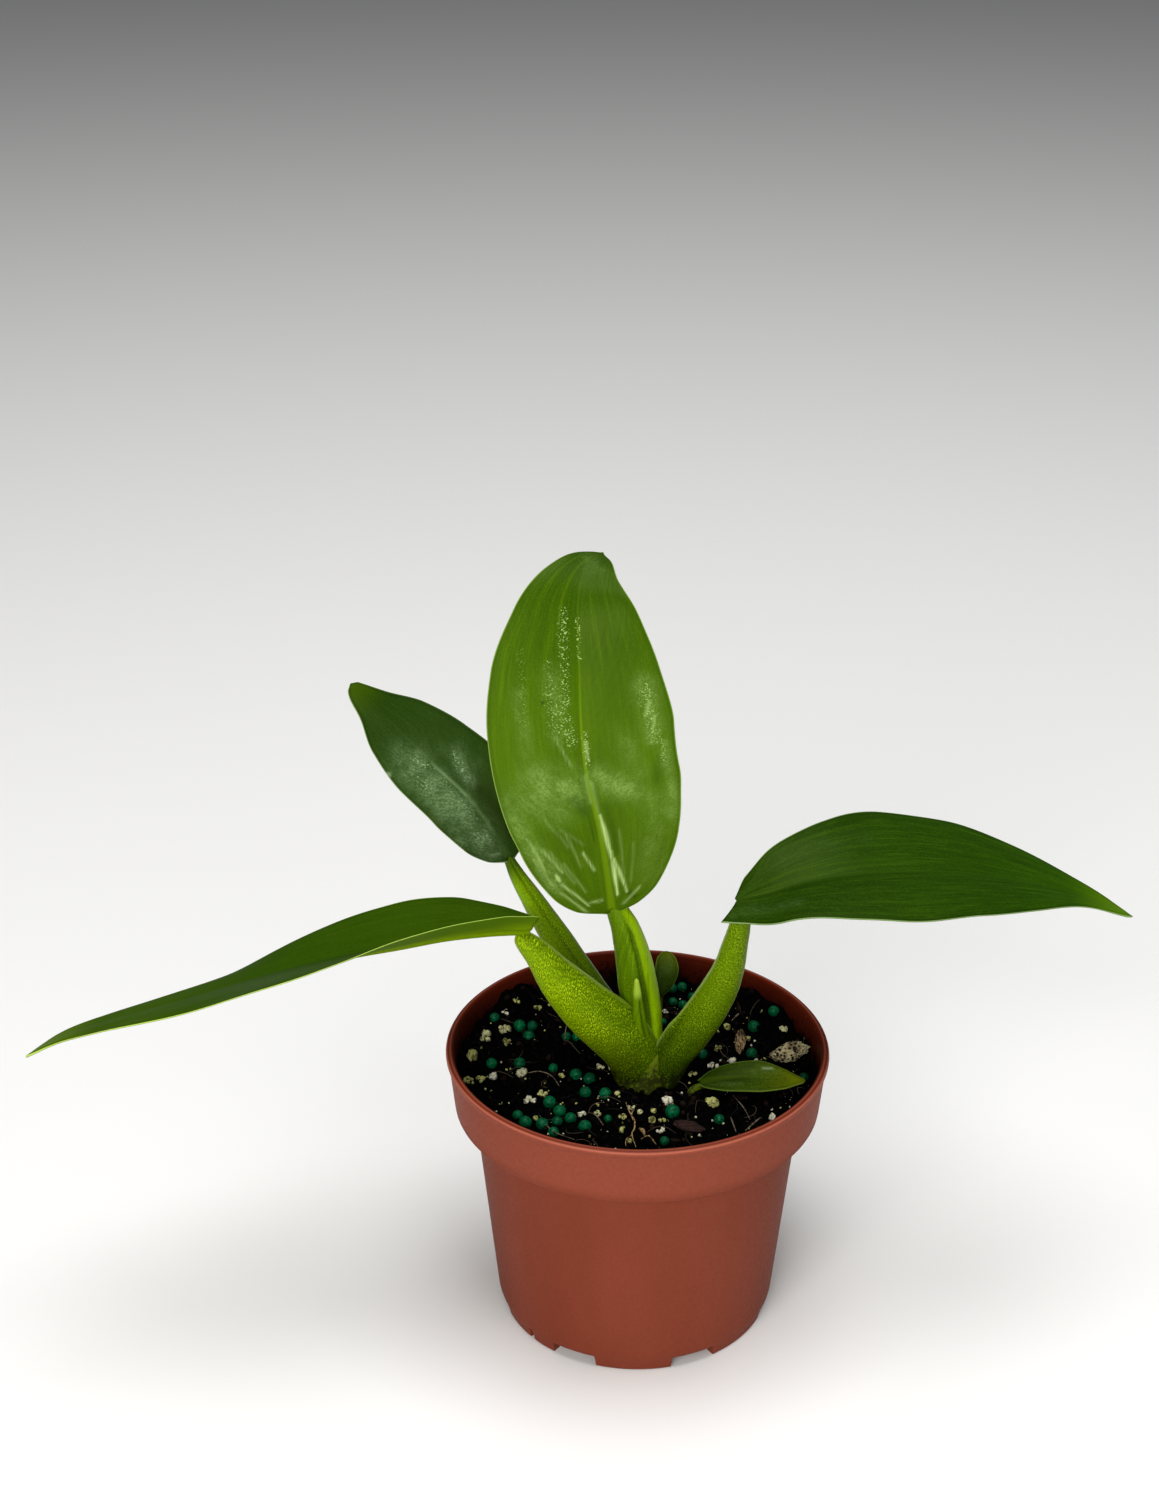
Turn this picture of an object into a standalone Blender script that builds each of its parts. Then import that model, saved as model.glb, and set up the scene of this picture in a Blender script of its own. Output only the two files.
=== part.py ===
"""Potted fat boy philodendron in a small round nursery pot.

Run with: blender --background --python part.py
Sizes are in millimetres about the pot's axis, with the floor at z = 0, +X to the right and -Y to the
front. An empty then sets everything over by AXIS_X, which brings the box's centre to x = 0.
"""
import math
import random

import bmesh
import bpy
import numpy as np
from mathutils import Euler, Matrix

MM = 0.001
AXIS_X = 13.04
CLEARANCE = 0.3
MERGE = 0.00001

# Pot: a moulded plastic nursery pot
LIP_RADIUS = 51.0
POT_HEIGHT = 79.0
WALL = 1.5
COLLAR_TOP_RADIUS = 50.3
COLLAR_BOTTOM_RADIUS = 48.8
COLLAR_BOTTOM_Z = 62.2
BODY_TOP_RADIUS = 43.8
FOOT_RADIUS = 37.4
FOOT_WIDTH = 2.2
FLOOR_UNDERSIDE_Z = 4.2
FLOOR_THICKNESS = 1.4
FLOOR_CORNER = 1.2
# The lip's section, as distances in from its edge and down from its top, and how far down it ends
LIP_SECTION = ((2.1, 0.7), (1.5, 0.1), (0.8, 0.0), (0.2, 0.4), (0.0, 1.1), (0.2, 1.9))
LIP_BOTTOM = 2.4
INSIDE_TOP = 2.5
# The step under the collar: how far it is rounded outside, and where it starts and ends inside
STEP_ROUND = 0.6
INNER_STEP_IN = 0.6
INNER_STEP_HEIGHTS = (-0.2, 1.0, 2.0)
# The foot: where it starts below the body, how far it is set in there, and its rounded outer edge
FOOT_TOP_Z = 4.6
FOOT_SET_IN = 0.5
FOOT_STEP_Z = 3.4
FOOT_EDGE = ((0.8, 0.5), (1.2, 0.0))
POT_STEPS = 48
NOTCH_COUNT = 7
NOTCH_WIDTH = 12.6
NOTCH_HEIGHT = 3.6
NOTCH_FIRST_ANGLE = -66.0
NICK_ANGLES = (-140.0, 40.0)
NICK_WIDTH = 1.6
DRAIN_RADIUS = 3.5
DRAIN_COUNT = 6
DRAIN_RING_RADIUS = 22.0
DRAIN_FIRST_ANGLE = 10.0

# Soil, and the prills and perlite that lie in its surface
SOIL_Z = 68.0
SOIL_RINGS = 12
SOIL_SECTORS = POT_STEPS
SOIL_RELIEF = 0.8
PRILL_SIDES = 6
PERLITE_SIDES = 4
GRAIN_RINGS = 3
SUNK = 0.35
GRAIN_LIMIT = 45.5
CROWN_KEEP_OUT = 9.5
TRIES = 40
LITTER_SEED = 7
# Banks of soil against the wall, as angle round the pot, half width in degrees and height, and where
# their slope starts and ends
BANKS = ((41.0, 19.0, 6.2), (76.0, 7.0, 4.5), (134.0, 9.0, 3.8), (150.0, 32.0, 4.4))
BANK_FOOT = 38.0
BANK_TOP = 47.5
# Each clump is x, y, how many grains, how far they scatter, and their radius
PRILL_CLUMPS = (
    (-38.8, 23.5, 1, 0.3, 1.35),
    (-32.0, 24.5, 1, 0.2, 1.7),
    (-28.4, 26.0, 1, 0.2, 1.5),
    (-29.5, 21.1, 1, 0.2, 1.7),
    (-17.4, 19.0, 2, 2.0, 1.3),
    (-39.3, 6.2, 1, 0.3, 1.5),
    (-31.4, 6.8, 1, 0.3, 1.6),
    (-22.3, 4.1, 1, 0.3, 1.3),
    (-16.4, 0.0, 1, 0.1, 1.6),
    (-12.8, -0.8, 1, 0.2, 1.7),
    (-13.9, -8.4, 1, 0.3, 1.6),
    (-8.5, -8.5, 1, 0.3, 1.6),
    (-23.4, -12.8, 1, 0.3, 1.7),
    (-20.5, -16.9, 1, 0.2, 1.7),
    (-17.7, -20.0, 1, 0.2, 1.6),
    (-21.3, -22.5, 1, 0.2, 1.4),
    (-22.1, -26.1, 1, 0.2, 1.5),
    (-25.0, -22.9, 1, 0.2, 1.7),
    (-29.4, -21.3, 1, 0.2, 1.7),
    (-31.6, -18.6, 1, 0.2, 1.4),
    (-14.0, -24.4, 1, 0.3, 1.7),
    (-7.8, -19.4, 1, 0.2, 1.1),
    (8.9, -17.6, 1, 0.2, 1.9),
    (6.4, -29.8, 1, 0.2, 1.3),
    (21.2, -20.9, 1, 0.3, 1.4),
    (44.6, -0.9, 1, 0.2, 1.3),
    (13.4, 39.6, 5, 4.0, 1.35),
    (7.9, 27.6, 1, 0.3, 1.2),
    (38.2, 24.4, 1, 0.1, 1.5),
    (33.0, 24.1, 1, 0.2, 1.7),
    (31.3, 10.8, 1, 0.3, 1.6),
    (18.2, 10.6, 1, 0.3, 1.5),
)
PERLITE_CLUMPS = (
    (-40.5, 15.9, 1, 0.2, 2.1),
    (-36.2, 20.8, 1, 0.2, 1.9),
    (-35.2, 17.2, 1, 0.1, 1.3),
    (-26.7, 31.5, 1, 0.4, 1.4),
    (-33.0, 29.6, 1, 0.3, 1.1),
    (-35.8, 26.4, 1, 0.2, 1.2),
    (-44.4, 5.0, 1, 0.3, 1.9),
    (-45.0, -3.6, 1, 0.2, 1.5),
    (-41.9, -2.6, 1, 0.2, 1.5),
    (-38.6, -1.6, 1, 0.2, 1.3),
    (-34.9, 3.4, 1, 0.3, 0.8),
    (-36.1, -12.8, 1, 0.3, 0.6),
    (-30.9, 1.9, 1, 0.3, 1.7),
    (-20.1, 0.1, 1, 0.3, 0.9),
    (-10.9, 11.2, 1, 0.3, 0.8),
    (-9.3, 5.3, 1, 0.2, 1.2),
    (-6.8, 4.4, 1, 0.1, 1.1),
    (-25.3, -9.6, 1, 0.3, 1.5),
    (-28.7, -12.0, 1, 0.3, 1.6),
    (-27.0, -19.4, 1, 0.2, 0.8),
    (-20.3, -12.0, 1, 0.2, 0.8),
    (-14.6, -17.8, 1, 0.2, 1.1),
    (-10.6, -17.9, 1, 0.2, 1.1),
    (-11.3, -13.5, 1, 0.3, 0.9),
    (-5.4, -8.6, 1, 0.2, 0.8),
    (-1.9, -14.1, 1, 0.2, 1.1),
    (-4.0, -19.2, 1, 0.2, 1.1),
    (0.4, -16.9, 1, 0.2, 0.8),
    (-4.7, -25.2, 1, 0.3, 1.3),
    (-2.7, -29.4, 1, 0.3, 0.8),
    (-6.9, -34.5, 1, 0.3, 0.9),
    (8.2, -12.1, 1, 0.2, 1.9),
    (6.4, -21.1, 1, 0.1, 1.3),
    (3.4, -20.3, 1, 0.2, 1.1),
    (4.0, -16.4, 1, 0.2, 0.9),
    (5.3, -26.0, 1, 0.2, 1.2),
    (19.3, -11.9, 1, 0.3, 1.7),
    (34.8, -19.4, 1, 0.3, 1.2),
    (8.5, 33.1, 1, 0.3, 1.1),
    (34.8, 27.4, 1, 0.2, 0.8),
    (40.8, 19.2, 1, 0.2, 1.2),
    (25.5, 24.5, 1, 0.3, 1.1),
    (31.3, 20.4, 1, 0.2, 0.8),
    (22.0, 14.0, 1, 0.3, 1.3),
    (20.4, 6.1, 1, 0.3, 1.5),
    (26.2, 7.8, 1, 0.3, 1.2),
    (33.8, 7.2, 2, 1.6, 0.85),
    (36.3, 3.4, 1, 0.3, 1.5),
    (15.0, 1.4, 1, 0.2, 1.2),
)

# Crown: the short stem, as height, half width and half depth from its foot up
CROWN_PLACE = (2.2, 1.0)
CROWN_SECTIONS = (
    (50.0, 4.2, 4.0),
    (55.0, 6.2, 5.8),
    (61.0, 7.8, 7.2),
    (67.0, 8.4, 7.6),
    (71.0, 7.8, 7.0),
    (74.5, 6.3, 5.7),
    (77.0, 4.2, 3.8),
)

# Stalks: x, y, z, half width and half depth, from under the blade down to the crown
STALK_SIDES = 14
STALK_STATIONS = 14
SLIM_STALK = 2.5
SLIM_SIDES = 8
SLIM_STATIONS = 8
STALK_BACK = (0.0, 0.91, -0.42)
STALKS = {
    "stalk_left": (
        (-32.5, -4.3, 113.0, 1.7, 1.5),
        (-28.9, -4.0, 111.8, 3.0, 2.7),
        (-25.4, -3.6, 107.4, 4.0, 3.6),
        (-21.5, -3.0, 101.4, 5.3, 4.8),
        (-16.6, -2.0, 95.0, 6.5, 5.8),
        (-11.6, -1.0, 88.9, 7.3, 6.6),
        (-6.0, 0.0, 83.1, 7.8, 7.2),
        (-1.4, 1.0, 76.2, 7.4, 7.2),
        (0.9, 1.5, 66.5, 6.5, 6.5),
    ),
    "stalk_right": (
        (27.0, -3.9, 122.3, 1.7, 1.6),
        (26.4, -4.0, 119.4, 2.5, 2.3),
        (26.0, -4.0, 116.6, 2.8, 2.6),
        (25.0, -4.0, 111.8, 3.3, 3.1),
        (23.5, -3.5, 104.0, 4.1, 3.8),
        (20.7, -2.5, 95.9, 4.9, 4.5),
        (16.7, -1.5, 87.7, 5.3, 5.1),
        (12.7, -0.8, 80.8, 5.2, 5.2),
        (9.2, -0.2, 74.6, 4.8, 5.2),
        (6.2, 0.4, 65.5, 4.6, 5.0),
    ),
    "stalk_centre": (
        (-7.2, 10.2, 119.0, 1.8, 1.3),
        (-5.9, 9.4, 115.6, 2.7, 2.3),
        (-4.8, 8.5, 113.0, 3.2, 2.9),
        (-3.1, 8.0, 109.0, 3.9, 3.6),
        (-1.2, 7.5, 101.1, 4.8, 4.5),
        (0.2, 7.0, 92.8, 5.2, 5.0),
        (1.3, 6.5, 85.3, 5.2, 5.2),
        (2.2, 5.0, 76.9, 4.8, 5.0),
        (2.3, 4.0, 66.5, 4.4, 4.8),
    ),
    "stalk_back": (
        (-34.8, 22.8, 124.7, 1.2, 1.1),
        (-33.6, 21.3, 121.8, 1.6, 1.5),
        (-32.1, 19.8, 119.2, 2.1, 2.0),
        (-27.9, 19.0, 112.0, 3.0, 2.8),
        (-22.9, 18.0, 103.4, 3.8, 3.5),
        (-18.3, 16.5, 96.6, 3.9, 3.7),
        (-13.8, 14.0, 90.6, 3.9, 4.0),
        (-9.2, 10.6, 84.9, 4.0, 4.3),
        (-4.6, 7.0, 77.4, 4.2, 4.6),
    ),
    "spear": (
        (-0.5, -2.0, 100.0, 0.5, 0.5),
        (-0.3, -2.0, 97.2, 0.9, 0.8),
        (0.0, -2.0, 92.0, 1.4, 1.3),
        (0.6, -1.8, 85.7, 1.9, 1.8),
        (1.8, -1.4, 78.4, 2.1, 2.1),
        (2.7, -1.0, 70.5, 2.2, 2.2),
    ),
    "small_stalk_back": (
        (7.0, 25.2, 80.4, 0.7, 0.6),
        (6.6, 24.2, 76.5, 0.9, 0.8),
        (6.2, 23.0, 71.0, 1.0, 1.0),
        (5.8, 22.0, 65.0, 1.0, 1.0),
    ),
    "small_stalk_front": (
        (18.2, -7.2, 70.4, 0.7, 0.6),
        (16.0, -7.2, 69.9, 0.9, 0.8),
        (14.4, -7.6, 68.8, 1.0, 1.0),
        (12.8, -8.0, 65.5, 1.0, 1.0),
    ),
}

# Blades. Each has a spine from its foot to its tip and the way its upper face looks at both ends. The
# rest runs along the spine from 0 to 1, for the left and the right half seen with the tip up: the half
# width, the fold (how steeply the half rises from the midrib) and the curl (how far it turns further).
# Lobes is how far each half reaches back past the foot, and rib is how deep the midrib stands below.
BLADE_STATIONS = 23
SMALL_STATIONS = 12
BLADE_ACROSS = (-1.0, -0.78, -0.5, -0.24, -0.07, 0.0, 0.07, 0.24, 0.5, 0.78, 1.0)
SMALL_ACROSS = (-1.0, -0.6, -0.2, 0.0, 0.2, 0.6, 1.0)
BLADE_THICKNESS = 0.8
RIB_REACH = 0.16
SMALL_RIB = 1.0
LOBE_FALL = 8.0
TROUGH_ROUND = 3.0
SECTION_SAMPLES = 33
BLADES = {
    "blade_centre": {
        "spine": (
            (-6.9, 7.0, 115.8), (-8.4, 7.5, 127.7), (-10.4, 8.5, 139.7), (-12.2, 9.7, 147.0),
            (-14.0, 11.3, 156.0), (-15.0, 13.5, 166.0), (-15.4, 16.5, 177.0), (-15.8, 20.5, 189.0),
            (-15.7, 25.0, 197.0), (-14.4, 29.5, 201.0), (-12.2, 33.5, 202.9), (-9.3, 38.0, 203.6),
        ),
        "faces": ((0.0, 0.05, -1.0, 0.25), (0.5, 0.02, -1.0, 0.2), (0.85, 0.05, -0.9, 0.5),
                  (1.0, 0.1, -0.3, 1.0)),
        "widths": (
            ((0, 1), (0.03, 10), (0.08, 15.6), (0.2, 21.2), (0.35, 23.6), (0.5, 24.3), (0.65, 22.7),
             (0.8, 16.3), (0.9, 8), (0.96, 3.8), (1, 0.8)),
            ((0, 1), (0.03, 7.6), (0.08, 13.4), (0.2, 20.3), (0.35, 23.9), (0.5, 23.9), (0.65, 20.5),
             (0.8, 14.9), (0.9, 9.8), (0.96, 5.6), (1, 0.8)),
        ),
        "folds": (((0, 22), (0.15, 14), (0.5, 8), (0.8, 12), (1, 14)),
                  ((0, 22), (0.15, 14), (0.5, 8), (0.8, 14), (1, 24))),
        "curls": (((0, -8), (0.5, -14), (1, -6)),) * 2,
        "lobes": (1.5, 1.5),
        "rib": 1.3,
    },
    "blade_back": {
        "spine": (
            (-34.4, 20.0, 124.7), (-39.2, 22.5, 132.1), (-45.3, 26.0, 139.8), (-54.2, 32.0, 146.1),
            (-62.1, 37.0, 152.0), (-69.8, 43.0, 157.6), (-77.3, 50.0, 161.6),
        ),
        "faces": ((0.0, -0.25, -0.8, 0.6), (0.5, -0.2, -0.75, 0.6), (1.0, -0.1, -0.7, 0.65)),
        "widths": (
            ((0, 1), (0.04, 5.6), (0.12, 9.1), (0.3, 11.6), (0.5, 11.5), (0.7, 9.3), (0.85, 5.3),
             (0.95, 3.3), (1, 1.4)),
            ((0, 1), (0.04, 7), (0.12, 11.5), (0.3, 14.4), (0.5, 13.5), (0.7, 10.3), (0.85, 5),
             (0.95, 2.5), (1, 1.3)),
        ),
        "folds": (((0, 18), (0.5, 12), (1, 16)),) * 2,
        "curls": (((0, -10), (1, -10)),) * 2,
        "lobes": (1.5, 1.5),
        "rib": 1.3,
    },
    "blade_left": {
        "spine": (
            (-28.2, -4.0, 115.9), (-35.9, -4.5, 115.8), (-43.6, -5.5, 115.6), (-51.4, -6.0, 114.7),
            (-61.7, -7.0, 112.9), (-74.6, -8.0, 110.8), (-87.5, -9.0, 107.9), (-100.5, -10.0, 104.3),
            (-113.4, -11.5, 100.7), (-126.3, -13.0, 97.3), (-139.3, -14.0, 93.7), (-149.8, -15.0, 90.0),
            (-158.9, -16.0, 84.8),
        ),
        "faces": ((0.0, 0.0, 0.2, 0.98), (1.0, -0.25, 0.2, 0.98)),
        "widths": (
            ((0, 6), (0.05, 9), (0.15, 13.2), (0.3, 17.2), (0.42, 18), (0.6, 14.2), (0.75, 10.1),
             (0.85, 7.1), (0.93, 3.3), (1, 0.6)),
            ((0, 6), (0.05, 10.8), (0.15, 16.6), (0.25, 18.5), (0.35, 17.7), (0.45, 15.3), (0.6, 10),
             (0.75, 7.1), (0.85, 6.3), (0.93, 4.8), (0.97, 2.6), (1, 0.6)),
        ),
        "folds": (
            ((0, 68), (0.05, 52), (0.09, 43), (0.15, 35), (0.25, 26), (0.35, 16), (0.5, 9), (0.7, 4),
             (1, 2)),
            ((0, 24), (0.2, 25), (0.3, 23), (0.4, 18), (0.5, 12), (0.6, 5), (1, 4)),
        ),
        "curls": (((0, -6), (1, -8)),) * 2,
        "lobes": (2.5, 1.0),
        "rib": 1.3,
    },
    "blade_right": {
        "spine": (
            (24.9, -3.8, 124.3), (33.0, -4.0, 126.4), (42.0, -2.5, 128.8), (54.3, 0.0, 129.8),
            (68.0, 4.0, 128.6), (84.0, 8.0, 126.0), (104.0, 12.5, 120.6), (120.0, 15.5, 114.4),
            (132.8, 18.0, 107.4),
        ),
        "faces": ((0.0, 0.0, -0.25, 1.0), (0.5, 0.0, -0.2, 1.0), (1.0, 0.1, -0.2, 1.0)),
        "widths": (
            ((0, 0.8), (0.03, 6.6), (0.1, 11.8), (0.25, 18.8), (0.4, 22.9), (0.55, 21), (0.7, 14.8),
             (0.85, 7.1), (0.95, 2.8), (1, 0.6)),
            ((0, 5.4), (0.04, 7.8), (0.1, 12.9), (0.25, 18.6), (0.35, 20.5), (0.55, 17), (0.7, 11.7),
             (0.85, 4.8), (0.95, 1.9), (1, 0.5)),
        ),
        "folds": (
            ((0, 28), (0.2, 18), (0.5, 10), (1, 10)),
            ((0, -26), (0.04, -6), (0.12, 14), (0.25, 9), (0.5, 5), (1, 8)),
        ),
        "curls": (((0, -10), (1, -12)), ((0, -12), (1, -12))),
        "lobes": (0.4, 4.8),
        "rib": 1.3,
    },
    "small_blade_back": {
        "spine": ((7.0, 24.0, 79.3), (7.8, 24.5, 82.5), (8.4, 25.5, 86.6), (8.4, 28.0, 91.2)),
        "faces": ((0.0, 0.3, -0.9, 0.2), (1.0, 0.3, -0.8, 0.6)),
        "widths": (
            ((0, 0.6), (0.3, 2.8), (0.6, 3.5), (0.85, 2.9), (1, 0.9)),
            ((0, 0.6), (0.3, 2.8), (0.6, 3.5), (0.85, 2.7), (1, 0.9)),
        ),
        "folds": (((0, 15), (1, 15)),) * 2,
        "curls": (((0, 0), (1, 0)),) * 2,
        "lobes": (0.0, 0.0),
        "rib": 0.4,
    },
    "small_blade_front": {
        "spine": (
            (16.6, -7.0, 71.3), (22.0, -8.0, 73.0), (30.0, -9.0, 74.2), (38.0, -10.0, 74.2),
            (44.0, -10.5, 73.8),
        ),
        "faces": ((0.0, 0.0, -0.5, 1.0), (1.0, 0.1, -0.4, 1.0)),
        "widths": (
            ((0, 0.7), (0.1, 2.6), (0.3, 4.2), (0.55, 4.8), (0.8, 3), (0.93, 1.4), (1, 0.6)),
            ((0, 0.7), (0.1, 2.6), (0.3, 4.4), (0.55, 5), (0.8, 3.4), (0.93, 1.5), (1, 0.6)),
        ),
        "folds": (((0, 18), (1, 18)), ((0, 14), (1, 14))),
        "curls": (((0, -10), (1, -10)),) * 2,
        "lobes": (0.8, 0.8),
        "rib": 0.4,
    },
}

# Loose pieces on the soil: place, size, turns about X, Y and Z, and seed of the lump's shape
LUMPS = {
    "pumice_chunk": ((41.2, 7.6, 71.5), (12.2, 6.4, 5.4), (0.0, -12.0, 6.0), 3),
    "bark_chip_pale": ((28.6, 15.5, 69.7), (3.2, 11.0, 1.8), (10.0, 0.0, -6.0), 5),
    "bark_chip_red": ((12.8, -24.0, 68.8), (9.6, 5.0, 1.9), (0.0, 0.0, -30.0), 9),
}
LUMP_ROUGHNESS = 0.22

# What each piece is trimmed back from, so that neighbours meet with only CLEARANCE between them
TRIMS = {
    "stalk_left": ("crown", "blade_left"),
    "stalk_right": ("crown", "stalk_left", "blade_right"),
    "stalk_centre": ("crown", "stalk_left", "stalk_right", "blade_centre"),
    "stalk_back": ("crown", "stalk_left", "stalk_right", "stalk_centre", "blade_back"),
    "spear": ("crown", "stalk_left", "stalk_right", "stalk_centre"),
    "small_stalk_back": ("small_blade_back",),
    "small_stalk_front": ("small_blade_front",),
    "soil": ("crown", "stalk_left", "stalk_right", "stalk_centre", "stalk_back", "spear",
             "small_stalk_back", "small_stalk_front", "pumice_chunk", "bark_chip_pale", "bark_chip_red"),
}

# Edges sharper than this many degrees are shaded sharp
SHARP_ANGLE = 40.0

# Each piece's material: its colour (linear), roughness and metallic value
MATERIALS = {
    "pot": ((0.30, 0.072, 0.042), 0.42, 0.0),
    "soil": ((0.012, 0.011, 0.010), 0.95, 0.0),
    "crown": ((0.13, 0.17, 0.012), 0.5, 0.0),
    "stalk_left": ((0.155, 0.245, 0.008), 0.42, 0.0),
    "stalk_right": ((0.13, 0.21, 0.008), 0.42, 0.0),
    "stalk_centre": ((0.085, 0.17, 0.008), 0.4, 0.0),
    "stalk_back": ((0.055, 0.11, 0.006), 0.42, 0.0),
    "spear": ((0.11, 0.2, 0.012), 0.4, 0.0),
    "small_stalk_back": ((0.09, 0.12, 0.01), 0.5, 0.0),
    "small_stalk_front": ((0.09, 0.12, 0.01), 0.5, 0.0),
    "blade_centre": ((0.09, 0.19, 0.01), 0.38, 0.0),
    "blade_back": ((0.028, 0.062, 0.01), 0.35, 0.0),
    "blade_left": ((0.06, 0.115, 0.012), 0.4, 0.0),
    "blade_right": ((0.03, 0.065, 0.005), 0.4, 0.0),
    "small_blade_back": ((0.035, 0.065, 0.006), 0.42, 0.0),
    "small_blade_front": ((0.035, 0.065, 0.006), 0.42, 0.0),
    "pumice_chunk": ((0.42, 0.38, 0.27), 0.9, 0.0),
    "bark_chip_pale": ((0.42, 0.3, 0.16), 0.85, 0.0),
    "bark_chip_red": ((0.09, 0.035, 0.02), 0.85, 0.0),
}


def clear_scene():
    """Remove every object that the file starts with."""
    for obj in list(bpy.data.objects):
        bpy.data.objects.remove(obj, do_unlink=True)


def make_collection(name):
    """Return a new collection linked to the scene."""
    collection = bpy.data.collections.new(name)
    bpy.context.scene.collection.children.link(collection)
    return collection


def make_material(name):
    """Return a piece's Principled material, with the values in MATERIALS."""
    color, roughness, metallic = MATERIALS[name]
    material = bpy.data.materials.new(name)
    material.use_nodes = True
    shader = material.node_tree.nodes["Principled BSDF"]
    shader.inputs["Base Color"].default_value = (*color, 1.0)
    shader.inputs["Roughness"].default_value = roughness
    shader.inputs["Metallic"].default_value = metallic
    return material


def shape_object(name, shape, collection):
    """Return an object of a bmesh, which it frees."""
    mesh = bpy.data.meshes.new(name)
    shape.to_mesh(mesh)
    shape.free()
    obj = bpy.data.objects.new(name, mesh)
    collection.objects.link(obj)
    return obj


def mesh_object(name, verts, faces, collection):
    """Return an object of the given vertices (in millimetres) and faces, with its faces turned out."""
    shape = bmesh.new()
    corners = [shape.verts.new([float(value) * MM for value in vert]) for vert in verts]
    for face in faces:
        shape.faces.new([corners[k] for k in face])
    bmesh.ops.recalc_face_normals(shape, faces=shape.faces)
    return shape_object(name, shape, collection)


def as_cutter(obj):
    """Mark an object as a shape that only cuts."""
    obj.hide_render = True
    obj.display_type = "WIRE"
    return obj


def smooth_path(points, count, samples=24):
    """Return count points evenly spaced along a smooth curve through the points, with all their values."""
    knots = np.array(points, float)
    ends = np.vstack([2 * knots[0] - knots[1], knots, 2 * knots[-1] - knots[-2]])
    path = []
    for a, b, c, d in zip(ends, ends[1:], ends[2:], ends[3:]):
        for t in np.linspace(0.0, 1.0, samples, endpoint=False):
            cubic = (3 * b - a - 3 * c + d) * t ** 3
            path.append(0.5 * (2 * b + (c - a) * t + (2 * a - 5 * b + 4 * c - d) * t ** 2 + cubic))
    path = np.array(path + [knots[-1]])
    length = np.r_[0.0, np.cumsum(np.linalg.norm(np.diff(path[:, :3], axis=0), axis=1))]
    places = np.linspace(0.0, length[-1], count)
    return np.stack([np.interp(places, length, column) for column in path.T], axis=1)


def profile(x, pairs):
    """Return a smooth curve through the (place, value) pairs that doesn't overshoot them, read at x."""
    places, values = np.array(pairs, float).T
    steps = np.diff(places)
    rises = np.diff(values) / steps
    slopes = np.empty_like(values)
    slopes[0] = rises[0]
    slopes[-1] = rises[-1]
    for i in range(1, len(places) - 1):
        product = rises[i - 1] * rises[i]
        slopes[i] = 2 * product / (rises[i - 1] + rises[i]) if product > 0 else 0.0
    k = np.clip(np.searchsorted(places, x) - 1, 0, len(steps) - 1)
    t = (x - places[k]) / steps[k]
    start = (2 * t ** 3 - 3 * t ** 2 + 1) * values[k] + (t ** 3 - 2 * t ** 2 + t) * steps[k] * slopes[k]
    end = (3 * t ** 2 - 2 * t ** 3) * values[k + 1] + (t ** 3 - t ** 2) * steps[k] * slopes[k + 1]
    return start + end


def unit(vectors):
    """Return the vectors at length 1."""
    return vectors / np.linalg.norm(vectors, axis=-1, keepdims=True)


def half_section(reach, width, fold, curl):
    """Return how far out and how high one half of a blade is at each share of its width in reach.

    The half leaves the midrib level, turns up to its fold angle over TROUGH_ROUND, then curls.
    """
    share = np.linspace(0.0, 1.0, SECTION_SAMPLES)
    arc = share * width[:, None]
    angle = fold[:, None] * np.clip(arc / TROUGH_ROUND, 0, 1) + curl[:, None] * share
    steps = np.diff(arc, axis=1)
    middle = (angle[:, 1:] + angle[:, :-1]) / 2
    out = np.cumsum(np.pad(np.cos(middle) * steps, ((0, 0), (1, 0))), axis=1)
    lift = np.cumsum(np.pad(np.sin(middle) * steps, ((0, 0), (1, 0))), axis=1)
    outs = np.array([np.interp(reach, share, row) for row in out])
    lifts = np.array([np.interp(reach, share, row) for row in lift])
    return outs, lifts


def blade_surface(spec, stations, across):
    """Return a blade's middle surface and its normals, as grids of stations by places across."""
    s = np.linspace(0.0, 1.0, stations)
    spine = smooth_path(spec["spine"], stations)
    tangent = unit(np.gradient(spine, axis=0))
    faces = np.array(spec["faces"], float)
    looks = unit(faces[:, 1:])
    normal = np.stack([np.interp(s, faces[:, 0], looks[:, k]) for k in range(3)], axis=1)
    normal = unit(normal - (normal * tangent).sum(axis=1, keepdims=True) * tangent)
    right = np.cross(tangent, normal)
    across = np.array(across)
    surface = np.repeat(spine[:, None, :], len(across), axis=1)
    for side, chosen in enumerate((across < 0, across >= 0)):
        reach = np.abs(across[chosen])
        width = profile(s, spec["widths"][side])
        fold = np.radians(profile(s, spec["folds"][side]))
        curl = np.radians(profile(s, spec["curls"][side]))
        out, lift = half_section(reach, width, fold, curl)
        back = spec["lobes"][side] * reach[None, :] ** 1.5 * (1 - s[:, None]) ** LOBE_FALL
        surface[:, chosen] += right[:, None] * (np.sign(across[chosen]) * out)[..., None]
        surface[:, chosen] += normal[:, None] * lift[..., None] - tangent[:, None] * back[..., None]
    along = np.gradient(surface, axis=0)
    over = np.gradient(surface, axis=1)
    return surface, unit(np.cross(over, along))


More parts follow.
